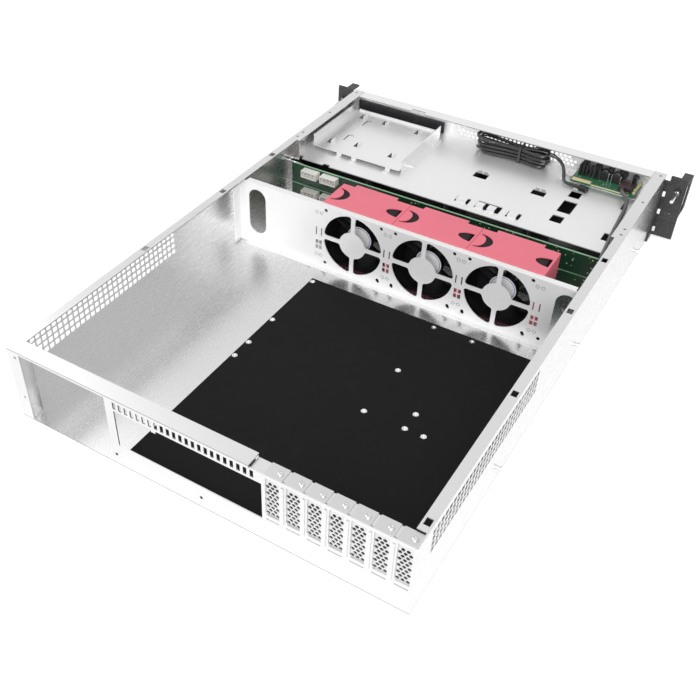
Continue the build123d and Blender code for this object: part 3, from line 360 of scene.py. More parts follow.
class Builder:
    """A Geometry Nodes tree and its named inputs."""

    kinds = {"Float": "NodeSocketFloat", "Int": "NodeSocketInt", "Vector": "NodeSocketVector",
             "Material": "NodeSocketMaterial", "Object": "NodeSocketObject"}

    def __init__(self, name, **inputs):
        self.tree = bpy.data.node_groups.new(name, "GeometryNodeTree")
        self.tree.interface.new_socket(name="Geometry", in_out="OUTPUT", socket_type="NodeSocketGeometry")
        self.tree.interface.new_socket(name="Geometry", in_out="INPUT", socket_type="NodeSocketGeometry")
        for key, kind in inputs.items():
            self.tree.interface.new_socket(name=key, in_out="INPUT", socket_type=self.kinds[kind])
        self.given = self.add("NodeGroupInput")
        self.result = self.add("NodeGroupOutput")

    def add(self, kind, settings=None, values=None):
        """Add a node. Kinds without a family of their own are Geometry nodes."""
        family = "" if kind.startswith(("NodeGroup", "ShaderNode")) else "GeometryNode"
        node = self.tree.nodes.new(family + kind)
        for key, setting in (settings or {}).items():
            setattr(node, key, setting)
        for key, value in (values or {}).items():
            if isinstance(value, bpy.types.NodeSocket):
                self.tree.links.new(value, node.inputs[key])
            else:
                node.inputs[key].default_value = value
        return node

    def piece(self):
        """The shape to copy, as it stands at the origin."""
        values = {"Object": self.given.outputs["Piece"]}
        return self.add("ObjectInfo", {"transform_space": "ORIGINAL"}, values).outputs["Geometry"]

    def end(self, instances):
        """Close the tree: make the copies real and give them their material."""
        real = self.add("RealizeInstances", None, {"Geometry": instances})
        painted = self.add("SetMaterial", None, {
            "Geometry": real.outputs[0], "Material": self.given.outputs["Material"]})
        self.tree.links.new(painted.outputs[0], self.result.inputs[0])
        return self.tree


def copies_tree():
    """Copies of one piece on each point, turned and sized by the point's own values."""
    build = Builder("Copies on points", Piece="Object", Size="Float", Material="Material")
    turn = build.add("InputNamedAttribute", {"data_type": "FLOAT_VECTOR"}, {"Name": "turn"})
    size = build.add("InputNamedAttribute", {"data_type": "FLOAT_VECTOR"}, {"Name": "size"})
    scaled = build.add("ShaderNodeVectorMath", {"operation": "SCALE"}, {
        0: size.outputs[0], "Scale": build.given.outputs["Size"]})
    placed = build.add("InstanceOnPoints", None, {
        "Points": build.given.outputs["Geometry"], "Instance": build.piece(),
        "Rotation": turn.outputs[0], "Scale": scaled.outputs[0]})
    return build.end(placed.outputs[0])


def row_tree():
    """A straight row of copies of one piece."""
    build = Builder("Row", Piece="Object", Count="Int", Start="Vector", Pitch="Vector", Material="Material")
    line = build.add("MeshLine", {"mode": "OFFSET"}, {
        "Count": build.given.outputs["Count"], "Start Location": build.given.outputs["Start"],
        "Offset": build.given.outputs["Pitch"]})
    placed = build.add("InstanceOnPoints", None, {"Points": line.outputs[0], "Instance": build.piece()})
    return build.end(placed.outputs[0])


def ring_tree():
    """Copies of one piece around a hub whose axis lies along Y."""
    build = Builder("Ring", Piece="Object", Count="Int", Centre="Vector", Material="Material")
    line = build.add("MeshLine", {"mode": "OFFSET"}, {
        "Count": build.given.outputs["Count"], "Offset": (0, 0, 0),
        "Start Location": build.given.outputs["Centre"]})
    index = build.add("InputIndex")
    share = build.add("ShaderNodeMath", {"operation": "DIVIDE"}, {
        0: index.outputs[0], 1: build.given.outputs["Count"]})
    angle = build.add("ShaderNodeMath", {"operation": "MULTIPLY"}, {0: share.outputs[0], 1: math.tau})
    turn = build.add("ShaderNodeCombineXYZ", None, {"Y": angle.outputs[0]})
    placed = build.add("InstanceOnPoints", None, {
        "Points": line.outputs[0], "Instance": build.piece(), "Rotation": turn.outputs[0]})
    return build.end(placed.outputs[0])


# Mesh work


def as_object(name, mesh):
    made = bpy.data.objects.new(name, mesh)
    bpy.context.scene.collection.objects.link(made)
    return made


def as_mesh(name, bm, smooth):
    """Turn mesh work into a mesh whose faces point outwards."""
    bmesh.ops.recalc_face_normals(bm, faces=bm.faces)
    mesh = bpy.data.meshes.new(name)
    bm.to_mesh(mesh)
    bm.free()
    for polygon in mesh.polygons:
        polygon.use_smooth = smooth
    if smooth:
        mesh.set_sharp_from_angle(angle=math.radians(40))
    return mesh


def seed_piece(name, bm, smooth=False):
    """A shape at the origin for a geometry tree to copy. It isn't rendered itself."""
    return as_object(name, as_mesh(name, bm, smooth))


def finished(name, bm, finish, body=None, slot=None, smooth=False, replaced=()):
    """Turn mesh work into a piece with one finish, riding on a body."""
    bmesh.ops.remove_doubles(bm, verts=bm.verts, dist=1e-7)
    mesh = as_mesh(name, bm, smooth)
    mesh.materials.append(finish)
    return placed(as_object(name, mesh), body, slot, replaced)


def evaluated_mesh(made):
    """The mesh that an object's modifiers make."""
    bpy.context.view_layer.update()
    return bpy.data.meshes.new_from_object(made.evaluated_get(bpy.context.evaluated_depsgraph_get()))


def placed(made, body=None, slot=None, replaced=()):
    """Say what body a piece rides on and what it stands for; the slot is not used."""
    if body:
        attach(made, body)
    if replaced:
        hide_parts(*replaced)
    return made


def block(bm, low, high, bevel=0.0, segments=1):
    """Add a box between two corners, in millimetres, with eased edges."""
    low, high = Vector(low) * MM, Vector(high) * MM
    place = Matrix.Translation((low + high) / 2) @ Matrix.Diagonal((*(high - low), 1))
    made = bmesh.ops.create_cube(bm, size=1, matrix=place)
    if bevel:
        edges = {edge for vertex in made["verts"] for edge in vertex.link_edges}
        bmesh.ops.bevel(bm, geom=list(edges), offset=bevel * MM, segments=segments, affect="EDGES",
                        profile=0.5)


def turned(bm, profile, centre, axis, sides, hollow=False):
    """Add a turned shape: profile pairs of distance along the axis and radius, in millimetres.

    Its ends are closed by flat faces. A hollow one's last ring joins its first instead.
    """
    centre = Vector(centre)
    along, first = {"Y": (Vector((0, 1, 0)), UP), "Z": (UP, Vector((1, 0, 0)))}[axis]
    second = along.cross(first)
    rings = []
    for distance, radius in profile:
        ring = []
        for i in range(sides):
            angle = math.tau * i / sides
            spoke = first * math.cos(angle) + second * math.sin(angle)
            ring.append(bm.verts.new((centre + along * distance + spoke * radius) * MM))
        rings.append(ring)
    following = rings[1:] + (rings[:1] if hollow else [])
    for near, far in zip(rings, following):
        for i in range(sides):
            bm.faces.new((near[i], near[(i + 1) % sides], far[(i + 1) % sides], far[i]))
    if not hollow:
        bm.faces.new(rings[0][::-1])
        bm.faces.new(rings[-1])


def bored_plate(bm, low, high, centre, radius, sides=64):
    """Add a plate that faces along Y with a round hole, in millimetres."""
    corners = [math.atan2(z - centre[1], x - centre[0]) for x in (low[0], high[0]) for z in (low[2], high[2])]
    angles = sorted({round(math.tau * i / sides - math.pi, 6) for i in range(sides)} | set(corners))
    loops = []
    for y, bored in ((low[1], True), (low[1], False), (high[1], False), (high[1], True)):
        loop = []
        for angle in angles:
            spoke = Vector((math.cos(angle), 0, math.sin(angle)))
            reach = radius
            if not bored:
                reaches = []
                for middle, part, ends in ((centre[0], spoke.x, (low[0], high[0])),
                                           (centre[1], spoke.z, (low[2], high[2]))):
                    if abs(part) > 1e-9:
                        reaches.append((ends[part > 0] - middle) / part)
                reach = min(reaches)
            loop.append(bm.verts.new((Vector((centre[0], y, centre[1])) + spoke * reach) * MM))
        loops.append(loop)
    for near, far in zip(loops, loops[1:] + loops[:1]):
        for i in range(len(angles)):
            after = (i + 1) % len(angles)
            bm.faces.new((near[i], near[after], far[after], far[i]))


def pattern(name, tree, seed, values, finish, body, slot=None, points=None, replaced=()):
    """Run a geometry tree and keep its result as a plain mesh that rides on a body."""
    base = bpy.data.meshes.new(name + "_points")
    if points is not None:
        base.from_pydata([Vector(row[0]) * MM for row in points], [], [])
        for index, (key, rest) in enumerate((("turn", (0, 0, 0)), ("size", (1, 1, 1))), start=1):
            attribute = base.attributes.new(key, "FLOAT_VECTOR", "POINT")
            flat = [value for row in points for value in (row[index] if len(row) > index else rest)]
            attribute.data.foreach_set("vector", flat)
    holder = as_object(name + "_base", base)
    modifier = holder.modifiers.new("Pattern", "NODES")
    modifier.node_group = tree
    given = {"Piece": seed, "Material": finish, **values}
    for item in tree.interface.items_tree:
        if item.item_type == "SOCKET" and item.in_out == "INPUT" and item.name in given:
            modifier[item.identifier] = given[item.name]
    mesh = evaluated_mesh(holder)
    mesh.name = name
    mesh.materials.clear()
    mesh.materials.append(finish)
    for polygon in mesh.polygons:
        polygon.material_index = 0
    bpy.data.objects.remove(holder)
    bpy.data.objects.remove(seed)
    return placed(as_object(name, mesh), body, slot, replaced)


def cable(name, points, diameter, finish):
    """A smooth cable along its route's points, in millimetres."""
    curve = bpy.data.curves.new(name, "CURVE")
    curve.dimensions = "3D"
    spline = curve.splines.new("NURBS")
    spline.points.add(len(points) - 1)
    for point, place in zip(spline.points, points):
        point.co = (*(Vector(place) * MM), 1)
    spline.order_u = 3
    spline.use_endpoint_u = True
    curve.resolution_u = 8
    curve.bevel_depth = diameter * MM / 2
    curve.bevel_resolution = 4
    curve.use_fill_caps = True
    curve.materials.append(finish)
    return as_object(name, curve)


def paint(finish, *names):
    """Give CAD nodes their finish."""
    for name in names:
        slots = NODES[name].data.materials
        slots.clear()
        slots.append(finish)


def finish_of(name):
    """The finish that a CAD node was given."""
    return NODES[name].data.materials[0]


# What a user may change


class StageSettings(bpy.types.PropertyGroup):
    """Camera, floor and lamps."""

    lens: bpy.props.FloatProperty(
        name="Lens", description="Focal length", default=47.5, unit="CAMERA")
    sky: bpy.props.FloatProperty(
        name="Sky", description="Light from all round", default=0.46, min=0)
    key: bpy.props.FloatProperty(
        name="Key", description="Power of the large lamp", default=78.0, unit="POWER")
    fill: bpy.props.FloatProperty(
        name="Fill", description="Power of the side lamp", default=12.0, unit="POWER")


class ColourSettings(bpy.types.PropertyGroup):
    """Main colours of the case."""

    steel: bpy.props.FloatVectorProperty(
        name="Steel", description="Zinc-coated sheet", default=(0.70, 0.70, 0.70), size=3, subtype="COLOR")
    white: bpy.props.FloatVectorProperty(
        name="Deck", description="Pale front deck and fan wall", default=(0.90, 0.90, 0.905), size=3,
        subtype="COLOR")
    carrier: bpy.props.FloatVectorProperty(
        name="Carrier", description="Fan carriers", default=(0.87, 0.185, 0.25), size=3, subtype="COLOR")
    board: bpy.props.FloatVectorProperty(
        name="Board", description="Solder mask", default=(0.012, 0.075, 0.035), size=3, subtype="COLOR")
    film: bpy.props.FloatVectorProperty(
        name="Film", description="Insulating sheet", default=(0.006, 0.006, 0.006), size=3, subtype="COLOR")


class FittingSettings(bpy.types.PropertyGroup):
    """Sizes of the small fittings, in metres."""

    screw_head: bpy.props.FloatProperty(
        name="Screw head", description="Radius of a slot screw's head", default=0.0027, unit="LENGTH")
    blades: bpy.props.IntProperty(name="Blades", description="Blades on each fan", default=7, min=3)
    cable: bpy.props.FloatProperty(
        name="Cable", description="Diameter of the front lead", default=0.0042, unit="LENGTH")
    signal: bpy.props.FloatProperty(
        name="Signal cable", description="Diameter of the signal cable", default=0.0048, unit="LENGTH")


# Operators


class Maker:
    """What the operators share: undoable, and done when execute returns."""

    bl_options = {"REGISTER", "UNDO"}

    def execute(self, context):
        self.make(context.scene)
        return {"FINISHED"}


class CASE_OT_stage(Maker, bpy.types.Operator):
    """Camera, floor, lamps and world"""

    bl_idname = "case.stage"
    bl_label = "Stage"

    def make(self, scene):
        settings = scene.case_stage
        lens = bpy.data.cameras.new("Camera")
        lens.lens = settings.lens
        lens.sensor_width = 36
        lens.shift_x, lens.shift_y = CAMERA_SHIFT
        camera = as_object("Camera", lens)
        camera.location = CAMERA_PLACE
        camera.rotation_euler = [math.radians(angle) for angle in CAMERA_TURN]
        lens.clip_start, lens.clip_end = 0.02, 50
        scene.camera = camera
        scene.view_settings.view_transform = "Standard"

        bm = bmesh.new()
        bmesh.ops.create_grid(bm, x_segments=1, y_segments=1, size=6)
        bmesh.ops.translate(bm, verts=bm.verts, vec=(0, 0.3, -0.0003))
        pale = Finish("floor_pale")
        rays = [pale.add("ShaderNodeLightPath", out=key) for key in
                ("Is Camera Ray", "Is Glossy Ray", "Is Transmission Ray")]
        seen = sum(rays[1:], rays[0]) > 0.5
        pale.set(colour=(0.80, 0.80, 0.80), rough=0.9, glow=(1, 1, 1), glow_strength=seen * 0.55)
        floor = finished("floor", bm, pale.material)

        world = bpy.data.worlds.new("Sky")
        scene.world = world
        world.use_nodes = True
        tree = world.node_tree
        sky = tree.nodes["Background"]
        sky.inputs["Color"].default_value = (1, 1, 1, 1)
        rays = tree.nodes.new("ShaderNodeLightPath")
        blend = tree.nodes.new("ShaderNodeMix")
        both = tree.nodes.new("ShaderNodeMath")
        both.operation = "MAXIMUM"
        tree.links.new(rays.outputs["Is Camera Ray"], both.inputs[0])
        tree.links.new(rays.outputs["Is Glossy Ray"], both.inputs[1])
        tree.links.new(both.outputs[0], blend.inputs["Factor"])
        blend.inputs["A"].default_value = settings.sky
        blend.inputs["B"].default_value = 1.0
        tree.links.new(blend.outputs["Result"], sky.inputs["Strength"])

        for name, (place, aim, size) in LAMPS.items():
            lamp = bpy.data.lights.new(name + "_lamp", "AREA")
            lamp.energy, lamp.size = getattr(settings, name), size
            made = as_object(name + "_lamp", lamp)
            made.location = place
            made.rotation_euler = (Vector(aim) - Vector(place)).to_track_quat("-Z", "Y").to_euler()


class CASE_OT_metal(Maker, bpy.types.Operator):
    """Finishes of the folded sheet, boards, plastics and handles"""

    bl_idname = "case.metal"
    bl_label = "Finishes"

    def make(self, scene):
        colours = scene.case_colours
        steel, white = tuple(colours.steel), tuple(colours.white)
        board = tuple(colours.board)
        across = {"grain": ACROSS_CASE}
        fans, drives = range(1, 4), range(1, 9)
        paint(sheet_steel("rolled_steel", steel, 0.27), "chassis_tray", "backplane_brackets")
        paint(sheet_steel("rear_steel", steel, 0.30, **across),
              "rear_panel", "rear_top_bar", "rear_corner_bracket")
        paint(sheet_steel("slot_steel", shade(steel, 0.9), 0.34, speckle=0.07), "slot_covers")
        paint(sheet_steel("wall_steel", white, 0.38, metal=0.25, speckle=0.03, **across), "fan_wall")
        paint(sheet_steel("deck_steel", shade(white, 0.97), 0.34, metal=0.6, **across),
              "front_deck", "front_panel", "optical_tray", "io_board_bracket")
        # Painted shade: the cage shelf and dividers sit in shadow, so their steel is darkened to three tenths
        # of its colour and made duller.
        paint(sheet_steel("inner_steel", shade(steel, 0.3), 0.6), "cage_shelf", "cage_dividers")
        paint(bright_metal("rivet_steel", (0.8, 0.8, 0.8), 0.3), "rail_studs", "standoffs")
        paint(coated("black_coat", (0.018, 0.018, 0.02), 0.5, sparkle=0.25), "rack_ears", "handles")
        paint(coated("insulating_film", tuple(colours.film), 0.7, pebble=420, depth=0.06, dust=0.008,
                     specular=0.15), "insulating_sheet")
        paint(coated("carrier_red", tuple(colours.carrier), 0.42, pebble=700, depth=0.05, dust=0.03),
              *(f"fan_carrier_{i}" for i in fans))
        # The fan frames are black plastic, but this black is darker and less glossy than the other black
        # plastics as painted shade, because the frames sit in shadow. The rings and seals behind them share
        # it.
        paint(coated("fan_black", (0.004, 0.004, 0.0045), 0.5, pebble=800, depth=0.05, dust=0.01,
                     specular=0.2), *(f"fan_frame_{i}" for i in fans))
        paint(coated("caddy_black", (0.016, 0.016, 0.018), 0.48, pebble=1100),
              "optical_blank", *(f"drive_caddy_{i}" for i in drives))
        paint(coated("lever_grey", (0.07, 0.07, 0.075), 0.35, coat=0.25),
              "power_button", "reset_button", *(f"caddy_lever_{i}" for i in drives))
        for name in ("lower_backplane", "upper_backplane"):
            paint(circuit(name + "_mask", shade(board, 0.5), top=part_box(name)[1].z), name)
        paint(circuit("port_mask", shade(board, 1.6), 0.0016), "io_board")
        paint(coated("connector_black", (0.012, 0.012, 0.013), 0.4, coat=0.15),
              "drive_connectors", "io_connectors")
        paint(coated("socket_white", (0.87, 0.86, 0.82), 0.42, dust=0.01), "power_sockets")
        paint(coated("tie_black", (0.02, 0.02, 0.02), 0.25, coat=0.7), "cable_tie")
        paint(screw_and_ring("thumbscrew_steel", 0.0035), "thumbscrew_left", "thumbscrew_right")


def cross_screw(name, radius, height):
    """A pan-head screw's head with a cross recess, standing on the origin along Z."""
    bm = bmesh.new()
    profile = [(0, radius), (height * 0.45, radius), (height * 0.8, radius * 0.86), (height, radius * 0.55)]
    turned(bm, profile, (0, 0, 0), "Z", 20)
    head = seed_piece(name, bm, smooth=True)
    bm = bmesh.new()
    for long, wide in ((radius * 1.1, radius * 0.22), (radius * 0.22, radius * 1.1)):
        block(bm, (-long / 2, -wide / 2, height * 0.45), (long / 2, wide / 2, height * 1.5))
    cutter = seed_piece(name + "_cutter", bm)
    cut = head.modifiers.new("Recess", "BOOLEAN")
    cut.object, cut.solver, cut.use_self = cutter, "EXACT", True
    mesh = evaluated_mesh(head)
    bpy.data.objects.remove(head)
    bpy.data.objects.remove(cutter)
    return as_object(name, mesh)


class CASE_OT_screws(Maker, bpy.types.Operator):
    """Screws, rivets, pressed hexagons, deck tabs, and discs of painted shade for dark holes and dimples"""

    bl_idname = "case.screws"
    bl_label = "Screws and rivets"

    def make(self, scene):
        radius = scene.case_fittings.screw_head / MM
        plated = bright_metal("screw_steel", (0.72, 0.72, 0.74), 0.28)
        low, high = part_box("slot_screws")
        first = Vector((high.x - radius * MM, (low.y + high.y) / 2, SLOT_TOP))
        pitch = (high.x - low.x - 2 * radius * MM) / (SLOTS - 1)
        pattern("slot_screw_heads", row_tree(), cross_screw("slot_screw_seed", radius, 1.5),
                {"Count": SLOTS, "Start": first, "Pitch": (-pitch, 0, 0)}, plated, "chassis", "bright_steel",
                replaced=("slot_screws",))
        self.wall_marks()

    def wall_marks(self):
        """Pressed hexagons greyed with painted shade, black discs of painted shade at holes, and foot rivets
        between the fans; discs of painted shade at the rear dimples; and deck tabs.
        """
        wall_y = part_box("fan_wall")[1].y / MM - WALL_FOOT
        copies, size = copies_tree(), {"Size": 1.0}

        # Raised hexagon rings in a grey much darker than the white wall. The ring is real; its grey is
        # painted shade standing in for the pressed marks' dark hollows.
        bm = bmesh.new()
        turned(bm, [(0, 2.4), (0.25, 2.3), (0.25, 1.9), (0.0, 1.8)], (0, 0, 0), "Y", 6, hollow=True)
        places = [((x + side, wall_y, z), (0, HEXAGON_TURN, 0))
                  for x in GROUP_XS for side in (-3.1, 3.1) for z in HEXAGON_ZS]
        pattern("wall_hexagons", copies, seed_piece("hexagon_seed", bm), size,
                bright_metal("hexagon_grey", (0.42, 0.42, 0.42), 0.4), "chassis", "galvanised_steel", places)

        # Painted shade: thin black discs laid on the wall and the rear panel where the holes between the fans
        # and the rear dimples' hollows look dark.
        bm = bmesh.new()
        turned(bm, [(0, 1.9), (0.12, 1.9), (0.2, 1.6)], (0, 0, 0), "Y", 20)
        places = [((x + side, wall_y, HOLE_Z), (0, 0, 0)) for x in GROUP_XS[1:] for side in (-8.8, 9.6)]
        places += [((x, REAR_Y, z), (0, 0, 0), (0.8, 1, 0.8)) for x, z in REAR_DIMPLES]
        pattern("dark_holes", copies, seed_piece("hole_seed", bm), size,
                coated("hole_black", (0.003, 0.003, 0.003), 0.8, dust=0.0, specular=0.1),
                "chassis", "black_plastic", places)

        bm = bmesh.new()
        turned(bm, [(0, 2.2), (0.35, 1.9), (0.6, 1.1)], (0, 0, 0), "Z", 16)
        places = [((x + side, wall_y + RIVET_OUT, 2 * SHEET / MM), (0, 0, 0))
                  for x in GROUP_XS for side in (-9.5, 9.5)]
        pattern("foot_rivets", copies, seed_piece("rivet_seed", bm, smooth=True), size,
                finish_of("fan_wall"), "chassis", "galvanised_steel", places)

        bm = bmesh.new()
        for x0, x1, y in DECK_TABS:
            block(bm, (x0, y - 0.8, DECK_TOP), (x1, y, DECK_TOP + 3.4), 0.3)
        finished("deck_tabs", bm, finish_of("front_deck"), "chassis", "white_steel")


class CASE_OT_fans(Maker, bpy.types.Operator):
    """Curved blades, hubs and bare labels of the three fans"""

    bl_idname = "case.fans"
    bl_label = "Fans"

    def make(self, scene):
        blade_black = coated("blade_black", (0.014, 0.014, 0.016), 0.22, pebble=900, depth=0.03, coat=0.5)
        paper = coated("label_paper", (0.78, 0.78, 0.79), 0.4, pebble=500, depth=0.02, dust=0.02)
        band = coated("label_band", (0.10, 0.13, 0.42), 0.4, pebble=500, depth=0.02, dust=0.02)
        ring = ring_tree()
        for index in (1, 2, 3):
            low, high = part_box(f"fan_rotor_{index}")
            middle = (low + high) / 2
            rotor, carrier = f"rotor_{index}", f"carrier_{index}"
            pattern(f"fan_blades_{index}", ring, self.blade(low, high), {
                "Count": scene.case_fittings.blades, "Centre": middle}, blade_black, rotor,
                "black_plastic", replaced=(f"fan_rotor_{index}",))
            front, rear = (low.y - middle.y) / MM, (high.y - middle.y) / MM
            bm = bmesh.new()
            turned(bm, [(front, 12.5), (front + 1.2, 15.6), (front + 3.5, HUB_RADIUS), (rear, HUB_RADIUS)],
                   middle / MM, "Y", 48)
            finished(f"fan_hub_{index}", bm, blade_black, rotor, "black_plastic", smooth=True)
            centre = (middle.x / MM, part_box(f"fan_frame_{index}")[1].y / MM, middle.z / MM)
            bm = bmesh.new()
            turned(bm, [(0, LABEL_RADIUS), (0.12, LABEL_RADIUS), (0.16, LABEL_RADIUS - 0.2)], centre, "Y", 64)
            finished(f"fan_label_{index}", bm, paper, carrier, "black_plastic")
            bm = bmesh.new()
            outline = [(0.12, 14.3), (0.22, 14.3), (0.22, 13.6), (0.12, 13.6)]
            turned(bm, outline, centre, "Y", 64, hollow=True)
            finished(f"fan_label_band_{index}", bm, band, carrier, "black_plastic")
            self.rim(index, centre, carrier)

    def rim(self, index, centre, carrier):
        """The ring behind a fan's frame, and the carrier's edge and seal beside it."""
        x, rear_y, z = centre
        low, high = (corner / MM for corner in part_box(f"fan_carrier_{index}"))
        # black is the fan frames' finish, darkened as painted shade.
        black, red = finish_of("fan_frame_1"), finish_of("fan_carrier_1")
        bm = bmesh.new()
        bored_plate(bm, (x - RING_HALF, rear_y + 0.05, z - RING_HALF),
                    (x + RING_HALF, high.y - 3.2, z + RING_HALF), (x, z), RING_BORE)
        finished(f"fan_ring_{index}", bm, black, carrier, "black_plastic")
        bm = bmesh.new()
        side = low.x + CARRIER_LEG
        block(bm, (side, high.y - 1.6, low.z + 0.2), (side + 3.4, high.y - 0.1, high.z - 1.2), 0.2)
        finished(f"carrier_edges_{index}", bm, red, carrier, "red_plastic")
        bm = bmesh.new()
        block(bm, (x + RING_BORE - 0.4, high.y + 0.02, z - SEAL_REACH),
              (high.x - 0.1, high.y + 0.22, z + SEAL_REACH), 0.08)
        finished(f"carrier_seal_{index}", bm, black, carrier, "black_plastic")

    def blade(self, low, high):
        """One swept blade about the origin, from the hub out to the tip."""
        bm = bmesh.new()
        depth = (high.y - low.y) / MM
        stations, chords = 7, 9
        upper, lower = [], []
        for side, sheet in ((0.6, upper), (-0.6, lower)):
            for i in range(stations):
                out = i / (stations - 1)
                radius = BLADE_ROOT + (BLADE_TIP - BLADE_ROOT) * out
                row = []
                for j in range(chords):
                    along = j / (chords - 1) - 0.5
                    bulge = 1 - (2 * along) ** 2
                    thick = side * (1 - (1 - bulge) * 0.6) * (1.15 - 0.5 * out)
                    angle = along * (0.62 - 0.06 * out) - 0.30 * out ** 1.5 + 0.10 * bulge + thick / radius
                    y = -along * depth * 0.86 + thick * 0.35
                    row.append(bm.verts.new(Vector((
                        math.cos(angle) * radius, y, math.sin(angle) * radius)) * MM))
                sheet.append(row)
        for i in range(stations - 1):
            for j in range(chords - 1):
                bm.faces.new((upper[i][j], upper[i + 1][j], upper[i + 1][j + 1], upper[i][j + 1]))
                bm.faces.new((lower[i][j], lower[i][j + 1], lower[i + 1][j + 1], lower[i + 1][j]))
        for i in range(stations - 1):
            for j in (0, chords - 1):
                bm.faces.new((upper[i][j], lower[i][j], lower[i + 1][j], upper[i + 1][j]))
        for j in range(chords - 1):
            for i in (0, stations - 1):
                bm.faces.new((upper[i][j], upper[i][j + 1], lower[i][j + 1], lower[i][j]))
        return seed_piece("blade_seed", bm, smooth=True)


def hank_route():
    """The lead's folds in its hank: each run through the tie, and the fold that follows it.

    A run gives its place in the tie. A fold gives its tip, its two sides and their heights.
    """
    points = list(HANK_START)
    for (run_y, run_z), (tip, y1, y2, z1, z2) in zip(HANK_RUNS, HANK_FOLDS):
        side = 1 if tip > TIE_X else -1
        near, far = tip - side * 4.5, tip - side * 17
        points += [
            (TIE_X, run_y, run_z),
            (TIE_X + side * 15, run_y * 0.8 + y1 * 0.2, run_z * 0.7 + z1 * 0.3),
            (far, y1 * 0.9 + run_y * 0.1, z1),
            (near, y1, z1),
        ]
        points += [(tip, y1 + (y2 - y1) * share, z1 + (z2 - z1) * share) for share in (0.27, 0.73)]
        points += [(near, y2, z2), (far, y2 * 0.9 + 1.7, z2)]
    return points + list(HANK_END)


class CASE_OT_ports(Maker, bpy.types.Operator):
    """Sockets, switches, chokes and their pins on the front port board"""

    bl_idname = "case.ports"
    bl_label = "Port board"

    def make(self, scene):
        low, high = (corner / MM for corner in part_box("io_board"))
        top, rear = high.z, high.y
        shell = finish_of("drive_connectors")
        cream = coated("port_cream", (0.78, 0.66, 0.40), 0.4, pebble=700, depth=0.04, dust=0.02)
        bright = bright_metal("port_bright", (0.85, 0.85, 0.84), 0.25)
        brown = coated("port_brown", (0.045, 0.022, 0.024), 0.35, pebble=900, depth=0.05, coat=0.3)
        stands_for = ("io_connectors",)

        # Ports, lamp block, switches, upright sockets and chokes
        bm = bmesh.new()
        for x in PORT_XS:
            self.port_shell(bm, x, top)
        block(bm, (-154.4, PORT_FRONT, top), (-149.6, 14.0, 80.6), 0.3)
        for x, reach in SWITCHES:
            block(bm, (x - reach, 5.8, top), (x + reach, 12.8, 78.7), 0.4)
        for x in UPRIGHT_XS:
            block(bm, (x - 1.3, 12.4, top), (x + 1.3, 20.4, 79.2), 0.5, 2)
            block(bm, (x - 0.9, 13.2, 79.0), (x + 0.9, 19.0, 80.2), 0.3)
        for x in CHOKE_XS:
            turned(bm, [(-3.4, 4.2), (-3.0, 4.9), (3.0, 4.9), (3.4, 4.2)], (x, 14.6, 75.0), "Y", 28)
            block(bm, (x - 4.8, 11.4, top), (x + 4.8, 17.8, 75.0), 0.3)
        finished("port_shells", bm, shell, "chassis", "black_plastic", replaced=stands_for)

        # Legs of the chokes, and the row of pins near the board's rear edge
        bm = bmesh.new()
        for x in CHOKE_XS:
            for side in (-1, 1):
                block(bm, (x + side * 5.4 - 0.5, 17.2, top), (x + side * 5.4 + 0.5, 18.4, 77.0), 0.25)
        for i in range(PINS):
            x = PIN_FIRST_X - i * PIN_PITCH
            block(bm, (x - 0.35, rear - 4.2, top), (x + 0.35, rear - 3.5, top + 1.4), 0.1)
        finished("port_pins", bm, bright, "chassis", "bright_steel", replaced=stands_for)

        # The wound block at the signal cable's socket
        bm = bmesh.new()
        block(bm, (-184.5, 17.4, top), (-168.4, 29.5, top + 6.2), 0.5, 2)
        block(bm, (-182.5, 19.4, top + 6.0), (-170.5, 27.5, top + 6.9), 0.4)
        block(bm, (-177.5, 12.7, top), (-169.0, 17.6, top + 7.2), 0.4)
        finished("port_choke", bm, brown, "chassis", "black_plastic", replaced=stands_for)

        # Edge strips, two cans and five stepped parts beside them
        bm = bmesh.new()
        block(bm, (-184.0, rear - 1.2, top), (-137.0, rear, top + 0.9), 0.2)
        block(bm, (-136.0, rear - 8.0, top), (low.x + 78.5, rear - 1.4, top + 0.9), 0.25)
        for x, y, radius in CREAM_CANS:
            turned(bm, [(0, radius), (2.2, radius), (2.8, radius * 0.7)], (x, y, top), "Z", 20)
        for i in range(5):
            front = 4.4 + i * 3.0
            block(bm, (-190.4 + i * 0.2, front, top), (-186.6, front + 1.8, top + 3.0 - i * 0.4), 0.2)
        finished("port_cream_parts", bm, cream, "chassis", "caddy_plastic", replaced=stands_for)

    def port_shell(self, bm, x, top):
        """One upright data port: four walls and a back round its hollow, and its tongue."""
        front, rear, roof, floor = PORT_FRONT, 15.5, 81.2, 67.4
        outer, wall = 3.3, 0.6
        inner, ceiling = outer - wall, roof - wall
        block(bm, (x - outer, front, top), (x - inner, rear, roof), 0.1)
        block(bm, (x + inner, front, top), (x + outer, rear, roof), 0.1)
        block(bm, (x - inner, front, ceiling), (x + inner, rear, roof))
        block(bm, (x - inner, front, top), (x + inner, rear, floor))
        block(bm, (x - inner, rear - wall, floor), (x + inner, rear, ceiling))
        block(bm, (x - 0.8, front + 0.8, floor + 1.0), (x + 0.8, rear - wall, floor + 11.0), 0.2)


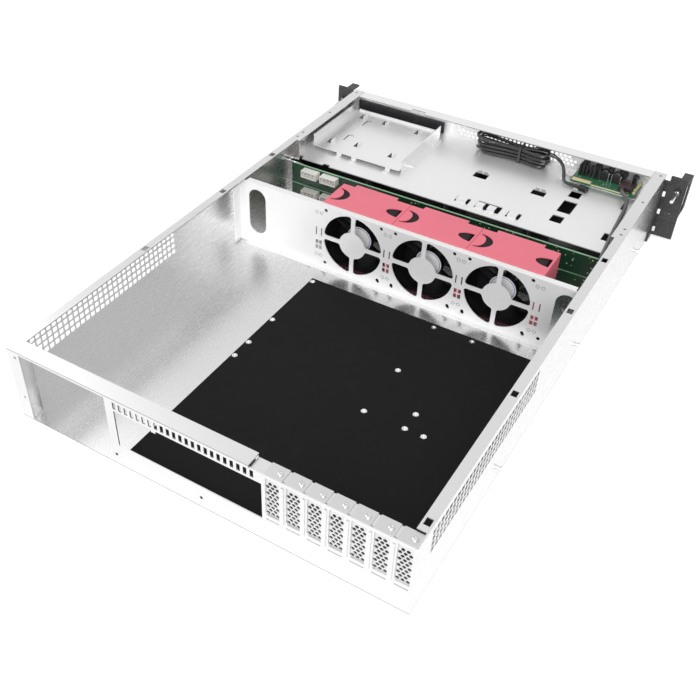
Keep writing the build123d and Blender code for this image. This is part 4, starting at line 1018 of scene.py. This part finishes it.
class CASE_OT_cables(Maker, bpy.types.Operator):
    """The tied front lead, the signal cable and their plugs"""

    bl_idname = "case.cables"
    bl_label = "Cables"

    def make(self, scene):
        fittings = scene.case_fittings
        jacket = sleeve("lead_jacket", (0.006, 0.006, 0.0065), 0.3)
        shell = coated("plug_black", (0.014, 0.014, 0.015), 0.42, coat=0.1)
        route = [*LEAD_ROUTE, *hank_route()]
        lead = cable("front_lead", route, fittings.cable / MM, jacket)
        lead_plug = self.plug("front_lead_plug", route[0], (-15.0, 3.0, -0.1), shell)
        loose_plug = self.plug("front_loose_plug", route[-1], (-1.0, 0.0, 0.0), shell)
        placed(lead, "chassis", "cable_sleeve", ("power_lead", "cable_hank"))
        grey_jacket = sleeve("signal_jacket", (0.06, 0.058, 0.06), 0.36)
        signal = cable("front_signal_cable", SIGNAL_ROUTE, fittings.signal / MM, grey_jacket)
        placed(signal, "chassis", "cable_sleeve", ("signal_cable",))
        end = Vector(SIGNAL_ROUTE[-1]) - Vector(SIGNAL_ROUTE[-2])
        signal_plug = self.plug("front_signal_plug", SIGNAL_ROUTE[-1], end, shell)
        for piece in (lead_plug, loose_plug, signal_plug):
            placed(piece, "chassis", "cable_sleeve", ("cable_plugs",))

    def plug(self, name, place, direction, finish):
        """A small moulded plug whose cable side is at the place, along a direction."""
        bm = bmesh.new()
        block(bm, (-3.7, -2.7, 0), (3.7, 2.7, 12.0), 0.7, 2)
        block(bm, (-3.0, -3.0, 3.2), (3.0, 3.0, 9.6), 0.3)
        for x in (-2.2, 2.2):
            block(bm, (x - 0.8, 1.2, 9.0), (x + 0.8, 2.4, 12.15), 0.1)
        along = Vector(direction).normalized()
        across = UP.cross(along).normalized()
        turn = Matrix((across, along.cross(across), along)).transposed().to_4x4()
        bmesh.ops.transform(bm, matrix=Matrix.Translation(Vector(place) * MM) @ turn, verts=bm.verts)
        return finished(name, bm, finish)


OPERATORS = (
    CASE_OT_stage, CASE_OT_metal, CASE_OT_screws, CASE_OT_fans, CASE_OT_ports, CASE_OT_cables)


class CASE_PT_panel(bpy.types.Panel):
    """Lists the settings and the steps."""

    bl_label = "Rackmount case"
    bl_idname = "CASE_PT_panel"
    bl_space_type = "VIEW_3D"
    bl_region_type = "UI"
    bl_category = "Rackmount case"

    def draw(self, context):
        for group in (context.scene.case_stage, context.scene.case_colours, context.scene.case_fittings):
            for key in group.__annotations__:
                self.layout.prop(group, key)
        for operator in OPERATORS:
            self.layout.operator(operator.bl_idname)


GROUPS = {"case_stage": StageSettings, "case_colours": ColourSettings, "case_fittings": FittingSettings}


def register():
    for group in (*GROUPS.values(), *OPERATORS, CASE_PT_panel):
        bpy.utils.register_class(group)
    for key, group in GROUPS.items():
        setattr(bpy.types.Scene, key, bpy.props.PointerProperty(type=group))


def unregister():
    for key in GROUPS:
        delattr(bpy.types.Scene, key)
    for group in (CASE_PT_panel, *OPERATORS[::-1], *GROUPS.values()):
        bpy.utils.unregister_class(group)


def main():
    register()
    for operator in OPERATORS:
        family, step = operator.bl_idname.split(".")
        getattr(getattr(bpy.ops, family), step)()


if __name__ == "__main__":
    main()
